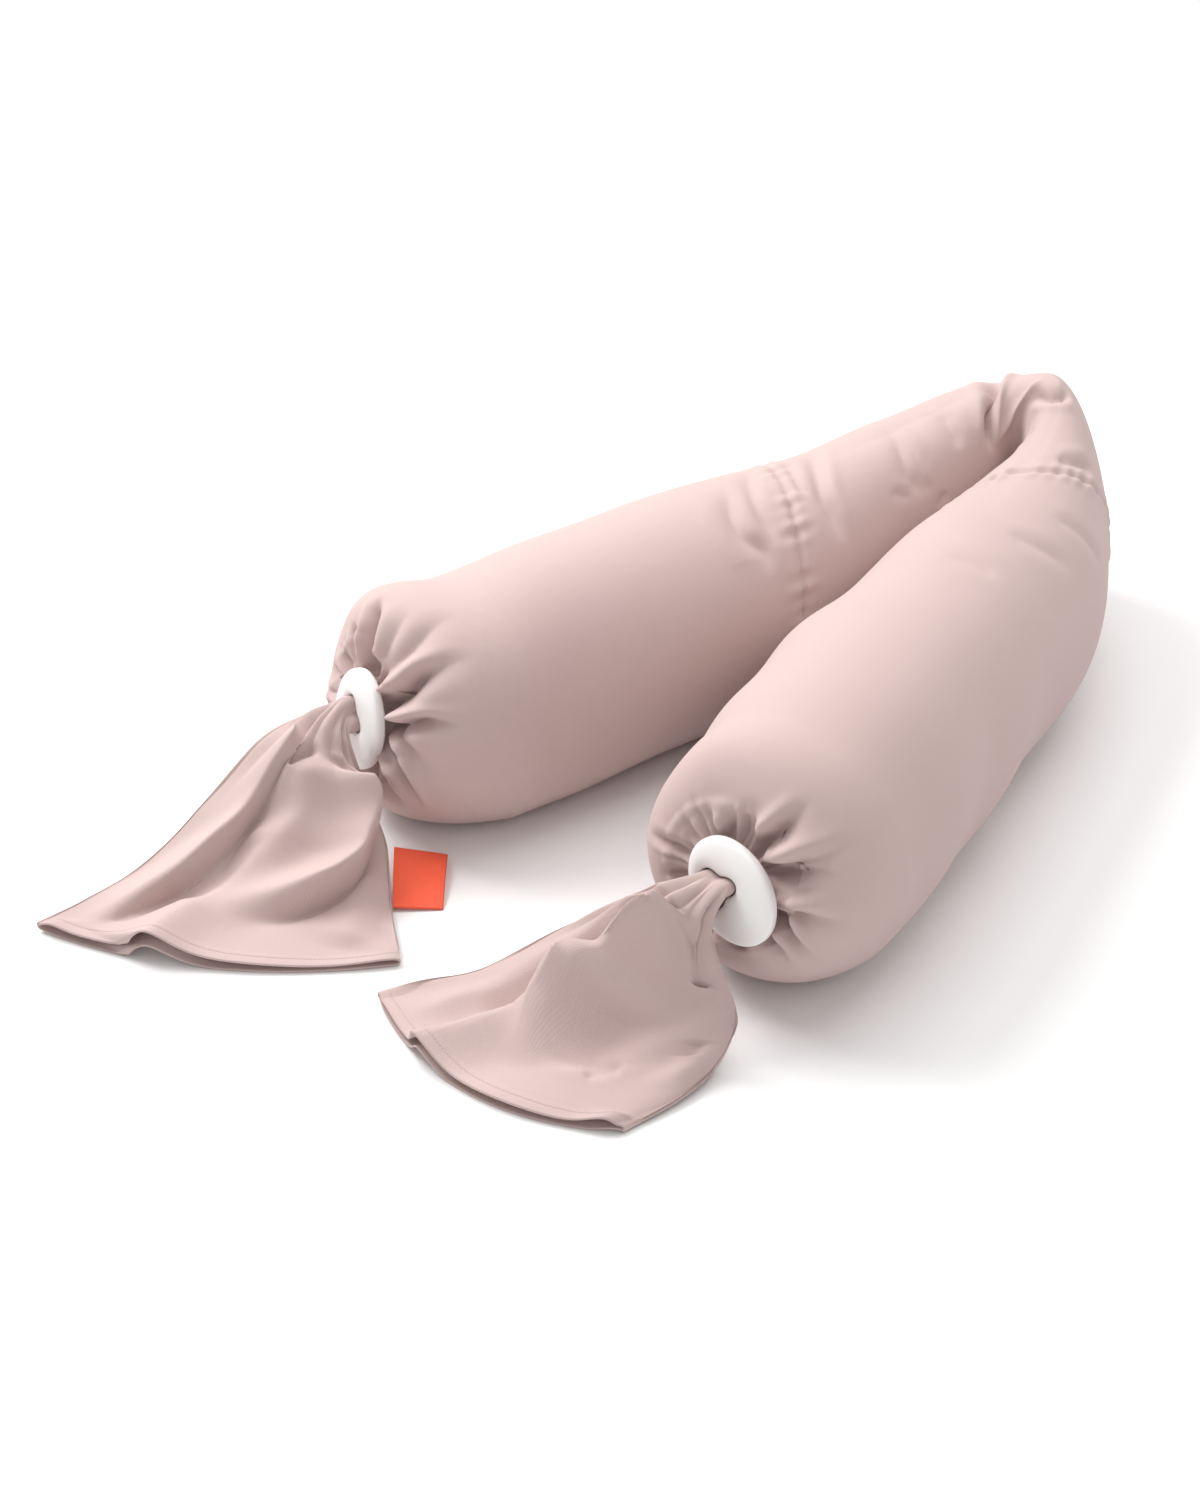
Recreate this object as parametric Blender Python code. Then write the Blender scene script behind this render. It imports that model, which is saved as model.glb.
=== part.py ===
"""Pregnancy pillow: a long filled bolster folded into a hairpin, with gathered ends.

The jersey cover is drawn through a pebble-shaped ring at each end and its open ends lie on the floor as
two cloth tails. A ribbon tab is sewn into the side of one tail.

Metres, +Z up. The pillow lies on z = 0, its fold is towards +Y and its two ends are towards -Y. The
origin is on the floor, below the middle of the whole thing.
"""

import math
from typing import NamedTuple

import bmesh
import bpy
import numpy as np

# Driving dimensions
CENTRE_X = 0.1125
CENTRE_Y = 0.0175
CLOTH = 0.0015
HEM_EXTRA = 0.0006
CONTACT_DIP = 0.011
RING_LENGTH = 0.083
RING_WIDTH = 0.066
RING_THICKNESS = 0.0145
RING_EGG = 0.10
HOLE_RADIUS = 0.0130
HOLE_LOBE = 0.0035
HOLE_TURN = 100
HOLE_SHIFT_LEVEL = -0.007
HOLE_SHIFT_UP = -0.004
NECK_GAP = 0.0012
NECK_LIP = 0.003
LAYER_GAP = 0.0055
HEM_SHARE = 0.036
CAP_OVERHANG = 0.09
JOIN_GAP = 0.0003
RING_GAP = 0.0007
MIDDLE_RADIUS = 0.095
PLEAT_FADE = 0.22
SEAM_DEPTH = 0.0028
SEAM_HALF_WIDTH = 0.006
SEAM_REACH = 0.075
TAB_THICKNESS = 0.0013

# Mesh steps
ROW_STEP = 0.0215
RING_STEPS = 36
TAIL_ACROSS = 20
TAIL_ALONG = 17
POCKET_START = 9
TAB_STEPS = 8


class Station(NamedTuple):
    """A cross-section of the bolster: its place and heading on the floor, half-widths and height."""

    x: float
    y: float
    heading: float
    outer: float
    inner: float
    height: float
    inner_square: float


class Ring(NamedTuple):
    """A pebble ring: its centre, the way its outer face looks, its tilt up, its turn in its own plane, and
    how much the cloth under it is drawn up, as a share of the radius.
    """

    x: float
    y: float
    z: float
    heading: float
    tilt: float
    turn: float
    lift: float


class Pleat(NamedTuple):
    """A valley between two gathers: its angle round the end, its reach from the ring and its depth."""

    angle: float
    reach: float
    depth: float


class Seam(NamedTuple):
    """A seam round the bolster: its middle's distance along, how far it swings to and fro, and its turn."""

    along: float
    swing: float
    turn: float


class Crease(NamedTuple):
    """A fold in the cover, from one distance along and angle round to another, its depth and half-width."""

    along: float
    angle: float
    to_along: float
    to_angle: float
    depth: float
    half_width: float


class CrossLine(NamedTuple):
    """One line across a tail: its share of the length, its left and right ends, bulge and loft."""

    share: float
    left_x: float
    left_y: float
    left_z: float
    right_x: float
    right_y: float
    right_z: float
    bulge: float
    loft: float


class Fold(NamedTuple):
    """A ridge (or valley, below 0) along a tail: where it crosses the neck, the middle and the hem,
    its half-width as a share of the width, its height at each, and the share that lifts the under side.
    """

    neck: float
    middle: float
    hem: float
    half_width: float
    height_neck: float
    height_middle: float
    height_hem: float
    under: float


# The bolster from the left ring, round the fold, to the right ring
STATIONS = (
    Station(-0.034, -0.118, 80, 0.096, 0.095, 0.196, 1.00),
    Station(-0.019, -0.050, 78, 0.095, 0.094, 0.199, 1.00),
    Station(-0.003, 0.035, 78, 0.095, 0.093, 0.200, 1.00),
    Station(0.014, 0.120, 78, 0.094, 0.091, 0.198, 1.00),
    Station(0.031, 0.205, 80, 0.090, 0.082, 0.193, 0.92),
    Station(0.043, 0.285, 83, 0.084, 0.068, 0.191, 0.78),
    Station(0.050, 0.350, 83, 0.077, 0.060, 0.193, 0.70),
    Station(0.061, 0.405, 72, 0.070, 0.050, 0.199, 0.70),
    Station(0.082, 0.440, 42, 0.057, 0.036, 0.210, 0.75),
    Station(0.114, 0.450, -2, 0.046, 0.036, 0.221, 0.75),
    Station(0.143, 0.425, -46, 0.046, 0.036, 0.211, 0.75),
    Station(0.164, 0.378, -70, 0.065, 0.048, 0.199, 0.72),
    Station(0.179, 0.312, -79, 0.088, 0.065, 0.196, 0.78),
    Station(0.199, 0.228, -79, 0.098, 0.082, 0.199, 0.92),
    Station(0.218, 0.140, -78, 0.100, 0.090, 0.202, 1.00),
    Station(0.238, 0.050, -78, 0.104, 0.095, 0.208, 1.00),
    Station(0.258, -0.030, -79, 0.104, 0.094, 0.209, 1.00),
    Station(0.274, -0.094, -82, 0.099, 0.094, 0.202, 1.00),
)
RING_LEFT = Ring(-0.065, -0.201, 0.106, 255, 10, 0, 0.02)
RING_RIGHT = Ring(0.284, -0.172, 0.108, 272, 12, 50, 0.24)

# Twelve valleys at each end; the angle is from the outer side over the top
LEFT_PLEATS = (
    Pleat(8, 0.130, 0.21),
    Pleat(38, 0.120, 0.23),
    Pleat(68, 0.150, 0.26),
    Pleat(88, 0.110, 0.13),
    Pleat(107, 0.170, 0.31),
    Pleat(132, 0.130, 0.13),
    Pleat(159, 0.180, 0.31),
    Pleat(190, 0.180, 0.26),
    Pleat(212, 0.170, 0.29),
    Pleat(253, 0.120, 0.18),
    Pleat(296, 0.110, 0.18),
    Pleat(335, 0.120, 0.21),
)
RIGHT_PLEATS = (
    Pleat(8, 0.190, 0.29),
    Pleat(28, 0.190, 0.29),
    Pleat(55, 0.190, 0.29),
    Pleat(75, 0.170, 0.21),
    Pleat(102, 0.180, 0.26),
    Pleat(124, 0.150, 0.16),
    Pleat(147, 0.170, 0.23),
    Pleat(183, 0.130, 0.18),
    Pleat(222, 0.110, 0.18),
    Pleat(264, 0.110, 0.16),
    Pleat(323, 0.170, 0.29),
    Pleat(344, 0.180, 0.23),
)
# The end's outline: how far along from the last section to the ring, and how much of the radius is left
CAP_OUTLINE = (
    (0.20, 0.990),
    (0.40, 0.955),
    (0.58, 0.895),
    (0.74, 0.810),
    (0.88, 0.700),
    (0.98, 0.590),
    (1.02, 0.510),
    (0.994, 0.420),
    (0.985, 0.280),
    (0.985, 0.140),
    (1.000, 0.020),
)
SEAMS = (Seam(0.312, -0.040, 90), Seam(0.748, 0.062, 90))
CREASES = (
    Crease(0.265, 81, 0.243, 130, 0.0050, 0.008),
    Crease(0.340, 74, 0.319, 105, 0.0040, 0.008),
    Crease(0.381, 64, 0.329, 140, 0.0060, 0.009),
    Crease(0.447, 79, 0.425, 143, 0.0040, 0.009),
    Crease(0.496, 88, 0.491, 130, 0.0035, 0.009),
    Crease(0.572, 60, 0.530, 138, 0.0120, 0.007),
    Crease(0.636, 70, 0.601, 130, 0.0050, 0.007),
    Crease(0.714, 81, 0.684, 48, 0.0045, 0.007),
    Crease(0.845, 78, 0.812, 35, 0.0030, 0.008),
)

# Each tail from its ring to its hem
LEFT_TAIL = (
    CrossLine(0.13, -0.094, -0.232, 0.112, -0.050, -0.222, 0.088, 0.012, 0.025),
    CrossLine(0.30, -0.114, -0.268, 0.092, -0.026, -0.228, 0.055, 0.022, 0.024),
    CrossLine(0.50, -0.125, -0.312, 0.050, -0.010, -0.232, 0.026, 0.024, 0.016),
    CrossLine(0.72, -0.134, -0.372, 0.016, 0.026, -0.262, 0.008, 0.022, 0.011),
    CrossLine(0.86, -0.141, -0.420, 0.008, 0.054, -0.284, 0.006, 0.022, 0.009),
    CrossLine(1.00, -0.147, -0.462, 0.005, 0.082, -0.304, 0.004, 0.024, 0.009),
)
LEFT_FOLDS = (
    Fold(0.16, 0.13, 0.10, 0.10, 0.010, 0.024, 0.010, 0.7),
    Fold(0.34, 0.36, 0.22, 0.10, -0.010, -0.012, -0.003, 0.0),
    Fold(0.56, 0.58, 0.29, 0.11, 0.012, 0.016, 0.022, 0.9),
    Fold(0.82, 0.80, 0.46, 0.09, 0.012, 0.022, 0.012, 0.7),
    Fold(0.97, 0.94, 0.62, 0.08, -0.004, -0.010, -0.004, 0.0),
)
RIGHT_TAIL = (
    CrossLine(0.13, 0.246, -0.212, 0.114, 0.300, -0.204, 0.088, 0.008, 0.025),
    CrossLine(0.30, 0.216, -0.222, 0.086, 0.316, -0.206, 0.060, 0.020, 0.025),
    CrossLine(0.50, 0.180, -0.236, 0.046, 0.325, -0.208, 0.030, 0.026, 0.017),
    CrossLine(0.72, 0.142, -0.276, 0.014, 0.330, -0.232, 0.012, 0.030, 0.011),
    CrossLine(0.86, 0.118, -0.310, 0.008, 0.330, -0.272, 0.006, 0.033, 0.009),
    CrossLine(1.00, 0.098, -0.341, 0.005, 0.321, -0.321, 0.004, 0.036, 0.009),
)
RIGHT_FOLDS = (
    Fold(0.10, 0.12, 0.12, 0.09, 0.010, 0.014, 0.004, 0.7),
    Fold(0.28, 0.25, 0.20, 0.09, -0.008, -0.010, -0.003, 0.0),
    Fold(0.30, 0.34, 0.30, 0.08, 0.000, 0.006, 0.018, 0.9),
    Fold(0.45, 0.43, 0.50, 0.09, 0.012, 0.024, 0.003, 0.7),
    Fold(0.68, 0.72, 0.75, 0.09, -0.010, -0.010, 0.000, 0.0),
    Fold(0.85, 0.88, 0.95, 0.09, 0.010, 0.016, 0.008, 0.7),
)
TAB_CORNERS = (
    (-0.0150, -0.2190, 0.012),
    (0.0170, -0.1920, 0.006),
    (0.0580, -0.2370, 0.000),
    (0.0310, -0.2640, 0.003),
)


def spline(rows, steps):
    """Catmull-Rom points through the rows, with this many steps between each two."""
    rows = np.asarray(rows, float)
    padded = np.vstack([2 * rows[0] - rows[1], rows, 2 * rows[-1] - rows[-2]])
    points = []
    for i in range(1, len(rows)):
        before, start, end, after = padded[i - 1 : i + 3]
        for step in range(steps):
            t = step / steps
            linear = (end - before) * t
            square = (2 * before - 5 * start + 4 * end - after) * t**2
            cubic = (3 * start - before - 3 * end + after) * t**3
            points.append(0.5 * (2 * start + linear + square + cubic))
    points.append(rows[-1])
    return np.array(points)


def smooth_table(rows, wanted):
    """The rows' columns at each wanted value of their first column, eased through the rows."""
    rows = np.asarray(rows, float)
    fine = spline(rows, 12)
    return np.stack([np.interp(wanted, fine[:, 0], fine[:, k]) for k in range(rows.shape[1])], axis=1)


def unit(heading, tilt=0.0):
    """The unit vector of this heading on the floor and this tilt up, both in degrees."""
    h, t = math.radians(heading), math.radians(tilt)
    return np.array([math.cos(h) * math.cos(t), math.sin(h) * math.cos(t), math.sin(t)])


def wrapped(degrees):
    """Angles brought into -180 to 180 degrees."""
    return (np.asarray(degrees) + 180.0) % 360.0 - 180.0


def bump(distance, half_width):
    """1 at no distance, about a third at one half-width and nothing far off."""
    return np.exp(-(np.abs(distance / half_width) ** 1.8))


UP = np.array([0.0, 0.0, 1.0])


def add_object(name, build, colour, roughness):
    """An object with its own material, filled by build on a new bmesh."""
    shape = bmesh.new()
    build(shape)
    bmesh.ops.translate(shape, verts=shape.verts, vec=(-CENTRE_X, -CENTRE_Y, 0.0))
    bmesh.ops.recalc_face_normals(shape, faces=shape.faces)
    mesh = bpy.data.meshes.new(name)
    shape.to_mesh(mesh)
    shape.free()
    mesh.shade_smooth()
    material = bpy.data.materials.new(name)
    material.use_nodes = True
    surface = material.node_tree.nodes["Principled BSDF"]
    surface.inputs["Base Color"].default_value = (*colour, 1.0)
    surface.inputs["Roughness"].default_value = roughness
    surface.inputs["Metallic"].default_value = 0.0
    mesh.materials.append(material)
    made = bpy.data.objects.new(name, mesh)
    bpy.context.scene.collection.objects.link(made)
    return made


def add_rings(shape, loops):
    """Adds each closed line of points and the faces between each two; gives the lines' vertices back."""
    rings = [[shape.verts.new(point) for point in loop] for loop in loops]
    for first, second in zip(rings, rings[1:]):
        join(shape, first, second)
    return rings


def join(shape, first, second):
    """Faces between two closed lines of as many vertices."""
    for i in range(len(first)):
        j = (i + 1) % len(first)
        shape.faces.new((first[i], first[j], second[j], second[i]))


def close(shape, ring):
    """Closes a line of vertices with a fan of faces round its middle."""
    middle = shape.verts.new(np.mean([v.co for v in ring], axis=0))
    for i in range(len(ring)):
        shape.faces.new((ring[i], ring[(i + 1) % len(ring)], middle))


def ring_axes(ring):
    """The way the ring's outer face looks, and the level and the upward direction in its plane."""
    out = unit(ring.heading, ring.tilt)
    level = np.cross(UP, out)
    level /= np.linalg.norm(level)
    return out, level, np.cross(out, level)


def hole_centre(ring):
    """The middle of the ring's hole, which is off the middle of the pebble."""
    _, level, upward = ring_axes(ring)
    middle = np.array([ring.x, ring.y, ring.z])
    return middle + HOLE_SHIFT_LEVEL * level + HOLE_SHIFT_UP * upward


def hole_reach(ring, direction):
    """How far the three-lobed hole reaches from its centre in this direction of the ring's plane."""
    _, level, upward = ring_axes(ring)
    angle = math.atan2(np.dot(direction, upward), np.dot(direction, level))
    return HOLE_RADIUS + HOLE_LOBE * math.cos(3.0 * (angle - math.radians(HOLE_TURN + ring.turn)))


def ring_builder(ring):
    """A pebble with an egg outline and a three-lobed hole, as one closed band of profile loops."""
    half = RING_THICKNESS / 2
    profile = (
        (0.00, 0.40),
        (0.04, 0.74),
        (0.14, 0.95),
        (0.36, 1.00),
        (0.62, 0.92),
        (0.83, 0.72),
        (0.95, 0.42),
        (1.00, 0.00),
    )
    centre = np.array([ring.x, ring.y, ring.z])
    hole = hole_centre(ring)
    out, level, upward = ring_axes(ring)
    turn = math.radians(ring.turn)

    def rim(angle):
        own = angle - turn
        egg = 1.0 - RING_EGG * math.sin(own)
        wide, tall = RING_WIDTH / 2, RING_LENGTH / 2
        return egg * wide * tall / math.hypot(tall * math.cos(own), wide * math.sin(own))

    def build(shape):
        sides = [*profile, *((share, -height) for share, height in reversed(profile[:-1]))]
        loops = []
        for share, height in sides:
            loop = []
            for i in range(RING_STEPS):
                angle = 2 * math.pi * i / RING_STEPS
                direction = math.cos(angle) * level + math.sin(angle) * upward
                inner = hole + hole_reach(ring, direction) * direction
                outer = centre + rim(angle) * direction
                loop.append(inner * (1 - share) + outer * share + height * half * out)
            loops.append(loop)
        rings = add_rings(shape, loops)
        join(shape, rings[-1], rings[0])

    return build


def pleat_angles(pleats):
    """Five angles per pleat: its valley, both its shoulders and the crown between, and each one's pleat."""
    angles = []
    for k, pleat in enumerate(pleats):
        gap = wrapped(pleats[(k + 1) % len(pleats)].angle - pleat.angle)
        angles += [pleat.angle + gap * share for share in (0.0, 0.17, 0.38, 0.62, 0.83)]
    return np.array(angles)


def pleat_dent(pleats, from_ring):
    """The dent at each of the five angles of every pleat, as a share of the radius."""
    dents = []
    for k, pleat in enumerate(pleats):
        after = pleats[(k + 1) % len(pleats)]
        here, there = (
            p.depth * max(0.0, 1.0 - from_ring / p.reach) ** 1.5 for p in (pleat, after)
        )
        dents += [here, 0.34 * here, 0.0, 0.0, 0.34 * there]
    return np.array(dents)


def bolster_table():
    """The distance along the bolster's middle line and the stations' columns there, in small steps."""
    fine = spline(STATIONS, 16)
    steps = np.linalg.norm(np.diff(fine[:, :2], axis=0), axis=1)
    return np.concatenate([[0.0], np.cumsum(steps)]), fine


def seam_shift(seam, angles):
    """How far along the bolster the seam has swung from its middle at each angle."""
    return seam.swing * np.sin(np.radians(angles - seam.turn))


def row_distances(total):
    """The distance along of each line of points, closer together at the seams."""
    wanted = list(np.linspace(0.0, total, round(total / ROW_STEP)))
    near_seams = [seam.along + k * SEAM_HALF_WIDTH for seam in SEAMS for k in (-1.4, -0.6, 0.0, 0.6, 1.4)]
    wanted = [w for w in wanted if min(abs(w - n) for n in near_seams) > 1.5 * SEAM_HALF_WIDTH]
    return sorted([*wanted, *near_seams])


def section(table, along, angles, dent):
    """Points of the bolster at these distances and angles, pressed flat where they meet the floor."""
    distances, columns = table
    values = [np.interp(along, distances, columns[:, k]) for k in range(columns.shape[1])]
    x, y, heading, outer, inner, height, inner_square = values
    turned = np.radians(heading + 90)
    left = np.stack([np.cos(turned), np.sin(turned), 0 * turned], axis=-1)
    half_height = (height + CONTACT_DIP) / 2
    across, up = np.cos(np.radians(angles)), np.sin(np.radians(angles))
    half_width = np.where(across >= 0, outer, inner) * (1 - dent)
    square = np.where(across >= 0, 1.0, inner_square)
    side = np.sign(across) * np.abs(across) ** square * half_width
    points = np.stack([x, y, half_height - CONTACT_DIP], axis=-1)
    points = points + side[..., None] * left + (up * half_height * (1 - dent))[..., None] * UP
    points[..., 2] = np.maximum(points[..., 2], 0.0)
    return points


def crease_dent(along, angles, radius):
    """How deep the seams and creases are at these distances and angles, as a share of the radius."""
    dent = np.zeros(len(angles))
    for seam in SEAMS:
        gap = along - seam.along - seam_shift(seam, angles)
        dent += SEAM_DEPTH * bump(gap, SEAM_HALF_WIDTH * 0.6)
    for crease in CREASES:
        run = np.array([crease.to_along - crease.along, radius * math.radians(crease.to_angle - crease.angle)])
        to_point = np.stack([along - crease.along, radius * np.radians(wrapped(angles - crease.angle))])
        share = np.clip(run @ to_point / (run @ run), 0.0, 1.0)
        away = np.linalg.norm(to_point - run[:, None] * share, axis=0)
        fade = np.sqrt(np.clip(1.3 - (2 * share - 1) ** 2, 0.0, 1.0))
        dent += crease.depth * fade * bump(away, crease.half_width)
    return dent / radius


def cap_lengths(station, ring):
    """The distance to the ring along the end's outline, from its last section and each line of it."""
    axial = math.hypot(ring.x - station.x, ring.y - station.y)
    path = np.array([(0.0, 1.0), *CAP_OUTLINE]) * (axial, station.height / 2)
    steps = np.linalg.norm(np.diff(path, axis=0), axis=1)
    return steps.sum() - np.concatenate([[0.0], np.cumsum(steps)])


def cap(station, ring, pleats, angles):
    """The pleated end of the bolster, from just past its last section to the middle of the ring's hole."""
    half_height = (station.height + CONTACT_DIP) / 2
    start = np.array([station.x, station.y, half_height - CONTACT_DIP])
    out, level, upward = ring_axes(ring)
    hole = hole_centre(ring)
    back = hole - (RING_THICKNESS / 2 + RING_GAP) * out
    left = unit(station.heading + 90)
    level_left = level * math.copysign(1.0, np.dot(level, left))
    lengths = cap_lengths(station, ring)[1:]
    loops = []
    for (axial, size), length in zip(CAP_OUTLINE, lengths):
        turned = min(1.0, axial) ** 1.5
        middle = start + (back - start) * (1 - (1 - min(1.0, axial)) ** 1.3)
        middle = middle + out * max(0.0, axial - 1.0) * CAP_OVERHANG
        left_here = left * (1 - turned) + level_left * turned
        up_here = UP * (1 - turned) + upward * turned
        dent = pleat_dent(pleats, length)
        loop = []
        for degrees, own in zip(angles, dent):
            angle = math.radians(degrees)
            half_width = station.outer if math.cos(angle) >= 0 else station.inner
            direction = math.cos(angle) * level_left + math.sin(angle) * upward
            neck = (hole_reach(ring, direction) - NECK_GAP) * (1 - size)
            across = math.cos(angle) * half_width * left_here
            drawn_up = 1 - ring.lift * turned * max(0.0, -math.sin(angle))
            full = across + math.sin(angle) * half_height * drawn_up * up_here
            point = middle + full * size * (1 - own) + direction * neck
            point[2] = max(point[2], 0.0)
            loop.append(point)
        loops.append(loop)
    for out_by in (-RING_THICKNESS * 0.3, -JOIN_GAP / 2):
        loop = []
        for degrees in angles:
            angle = math.radians(degrees)
            direction = math.cos(angle) * level_left + math.sin(angle) * upward
            loop.append(hole + (hole_reach(ring, direction) - NECK_GAP) * direction + out_by * out)
        loops.append(loop)
    return loops


def build_bolster(shape):
    """The filled bolster, one closed tube from inside one ring to inside the other."""
    table = bolster_table()
    total = table[0][-1]
    left_angles = pleat_angles(LEFT_PLEATS)
    right_angles = pleat_angles(RIGHT_PLEATS)
    even = np.linspace(0.0, 360.0, len(left_angles), endpoint=False)
    even += np.mean(left_angles + right_angles) / 2 - np.mean(even)
    left_length = cap_lengths(STATIONS[0], RING_LEFT)[0]
    right_length = cap_lengths(STATIONS[-1], RING_RIGHT)[0]
    loops = []
    for distance in row_distances(total):
        near_left = max(0.0, 1.0 - distance / PLEAT_FADE)
        near_right = max(0.0, 1.0 - (total - distance) / PLEAT_FADE)
        angles = even + (left_angles - even) * near_left + (right_angles - even) * near_right
        along = np.full(len(angles), distance)
        for seam in SEAMS:
            near = max(0.0, 1.0 - abs(distance - seam.along) / SEAM_REACH)
            along += seam_shift(seam, angles) * near
        dent = crease_dent(along, angles, MIDDLE_RADIUS)
        dent += pleat_dent(LEFT_PLEATS, left_length + distance)
        dent += pleat_dent(RIGHT_PLEATS, right_length + total - distance)
        loops.append(section(table, along, angles, dent))
    first = cap(STATIONS[0], RING_LEFT, LEFT_PLEATS, left_angles)
    last = cap(STATIONS[-1], RING_RIGHT, RIGHT_PLEATS, right_angles)
    rings = add_rings(shape, [*reversed(first), *loops, *last])
    close(shape, rings[0])
    close(shape, rings[-1])


def tail_builder(ring, lines, folds):
    """A gathered cloth tube, solid at its neck and open at its hem, from the ring down to the floor."""
    centre = hole_centre(ring)
    out, level, upward = ring_axes(ring)
    count = 2 * TAIL_ACROSS
    turns = [math.pi * i / TAIL_ACROSS for i in range(count)]

    def neck_line(out_by, grow):
        points = []
        for turn in turns:
            direction = -math.cos(turn) * level + math.sin(turn) * upward
            reach = (hole_reach(ring, direction) - NECK_GAP) * grow
            points.append(centre + reach * direction + out_by * out)
        return points

    def cloth_line(row):
        share, left, right = row[0], row[1:4], row[4:7]
        bulge, loft = row[7], row[8]
        along = right - left
        outward = np.array([along[1], -along[0], 0.0])
        outward /= np.linalg.norm(outward)
        flat = min(1.0, share / 0.7)
        points = []
        for turn in turns:
            across = 0.5 - 0.5 * math.cos(turn) * abs(math.cos(turn)) ** (-0.25 * flat)
            round_part = math.copysign(abs(math.sin(turn)) ** (1.0 - 0.5 * flat), math.sin(turn))
            on_top = turn <= math.pi
            height = 0.0
            for fold in folds:
                place = np.interp(share, (0.0, 0.5, 1.0), (fold.neck, fold.middle, fold.hem))
                tall = np.interp(
                    share, (0.0, 0.5, 1.0), (fold.height_neck, fold.height_middle, fold.height_hem)
                )
                own = tall * bump(across - place, fold.half_width)
                height += own if on_top else own * fold.under
            edge = min(1.0, 8.0 * across * (1.0 - across))
            point = left + along * across + 4 * across * (1 - across) * bulge * outward
            point = point + UP * (0.5 * loft * round_part + height * edge)
            points.append(point)
        return points

    def build(shape):
        shares = np.linspace(lines[0].share, 1.0, TAIL_ALONG)
        hem = 1.0 - HEM_SHARE
        shares = np.array(sorted({*[s for s in shares if abs(s - hem) > 0.02], hem}))
        rows = smooth_table(lines, shares)
        outer = [neck_line(JOIN_GAP / 2, 1.0), neck_line(RING_THICKNESS * 0.36, 1.0)]
        outer.append(neck_line(RING_THICKNESS / 2 + NECK_LIP, 1.04))
        outer += [cloth_line(row) for row in rows]
        outer = np.array(outer)
        outer[:, :, 2] = np.maximum(outer[:, :, 2], 0.0)
        for k in range(3, len(outer)):
            for i in range(1, TAIL_ACROSS):
                over, under = outer[k, i], outer[k, count - i]
                over[2] = max(over[2], under[2] + LAYER_GAP)
        inner = inside(outer, hem_from=len(outer) - 2)[POCKET_START:]
        rings = add_rings(shape, outer)
        inner_rings = add_rings(shape, inner)
        join(shape, rings[-1], inner_rings[-1])
        close(shape, rings[0])
        close(shape, inner_rings[0])

    return build


def inside(lines, hem_from):
    """The same closed lines moved in by the cloth's thickness, which is more at the turned hem."""
    along = np.gradient(lines, axis=0)
    around = np.roll(lines, -1, axis=1) - np.roll(lines, 1, axis=1)
    normal = np.cross(around, along)
    normal /= np.linalg.norm(normal, axis=2, keepdims=True)
    middle = lines.mean(axis=1, keepdims=True)
    facing_in = np.sum(normal * (middle - lines), axis=2).mean() > 0
    thickness = np.full((len(lines), 1, 1), CLOTH)
    thickness[hem_from:] += HEM_EXTRA
    return lines + normal * (thickness if facing_in else -thickness)


def build_tab(shape):
    """The folded ribbon, a thin bent plate standing on its edge line beside the tail."""
    near_left, far_left, far_right, near_right = (np.array(c) for c in TAB_CORNERS)
    loops = []
    for i in range(TAB_STEPS + 1):
        s = i / TAB_STEPS
        lift = 0.004 * math.sin(math.pi * s)
        first = near_left * (1 - s) + far_left * s + UP * lift
        second = near_right * (1 - s) + far_right * s + UP * lift
        thick = UP * TAB_THICKNESS
        loops.append([first, second, second + thick, first + thick])
    rings = add_rings(shape, loops)
    close(shape, rings[0])
    close(shape, rings[-1])


def main():
    """Clears the scene and builds every piece."""
    for old in list(bpy.data.objects):
        bpy.data.objects.remove(old, do_unlink=True)
    rose = (0.55, 0.35, 0.32)
    white = (0.88, 0.87, 0.85)
    coral = (0.95, 0.12, 0.06)
    add_object("pillow_body", build_bolster, rose, 0.85)
    add_object("ring_a", ring_builder(RING_LEFT), white, 0.4)
    add_object("ring_b", ring_builder(RING_RIGHT), white, 0.4)
    add_object("tail_a", tail_builder(RING_LEFT, LEFT_TAIL, LEFT_FOLDS), rose, 0.85)
    add_object("tail_b", tail_builder(RING_RIGHT, RIGHT_TAIL, RIGHT_FOLDS), rose, 0.85)
    add_object("label", build_tab, coral, 0.6)


main()
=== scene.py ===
"""Looks of the pregnancy pillow: the gathered jersey bolster, its two pebble rings, the open cloth tails
with their hems and stitching, and the ribbon tab, with the floor, the light and the camera.

Metres, +Z up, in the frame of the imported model. The tables below lie in the frame of the pillow's own
drawing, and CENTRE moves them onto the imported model.
"""

import logging
import math
from dataclasses import dataclass
from enum import Enum
from typing import NamedTuple

import bmesh
import bpy
import numpy as np
from mathutils import Matrix, Vector


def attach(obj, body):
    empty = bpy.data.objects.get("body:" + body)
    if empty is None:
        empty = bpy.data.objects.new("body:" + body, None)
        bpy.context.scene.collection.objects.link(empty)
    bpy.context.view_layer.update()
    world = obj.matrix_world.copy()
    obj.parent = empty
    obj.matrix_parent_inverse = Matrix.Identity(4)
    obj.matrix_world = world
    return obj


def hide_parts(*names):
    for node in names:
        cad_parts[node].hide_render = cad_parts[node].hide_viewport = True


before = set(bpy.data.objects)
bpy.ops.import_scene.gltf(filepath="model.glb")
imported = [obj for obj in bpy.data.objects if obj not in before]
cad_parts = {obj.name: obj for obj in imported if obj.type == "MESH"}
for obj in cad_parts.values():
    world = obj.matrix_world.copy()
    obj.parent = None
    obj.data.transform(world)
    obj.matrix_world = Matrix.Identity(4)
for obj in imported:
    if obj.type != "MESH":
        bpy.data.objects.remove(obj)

log = logging.getLogger("pillow")
UP = np.array([0.0, 0.0, 1.0])
CENTRE = np.array([0.1125, 0.0175, 0.0])

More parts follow.
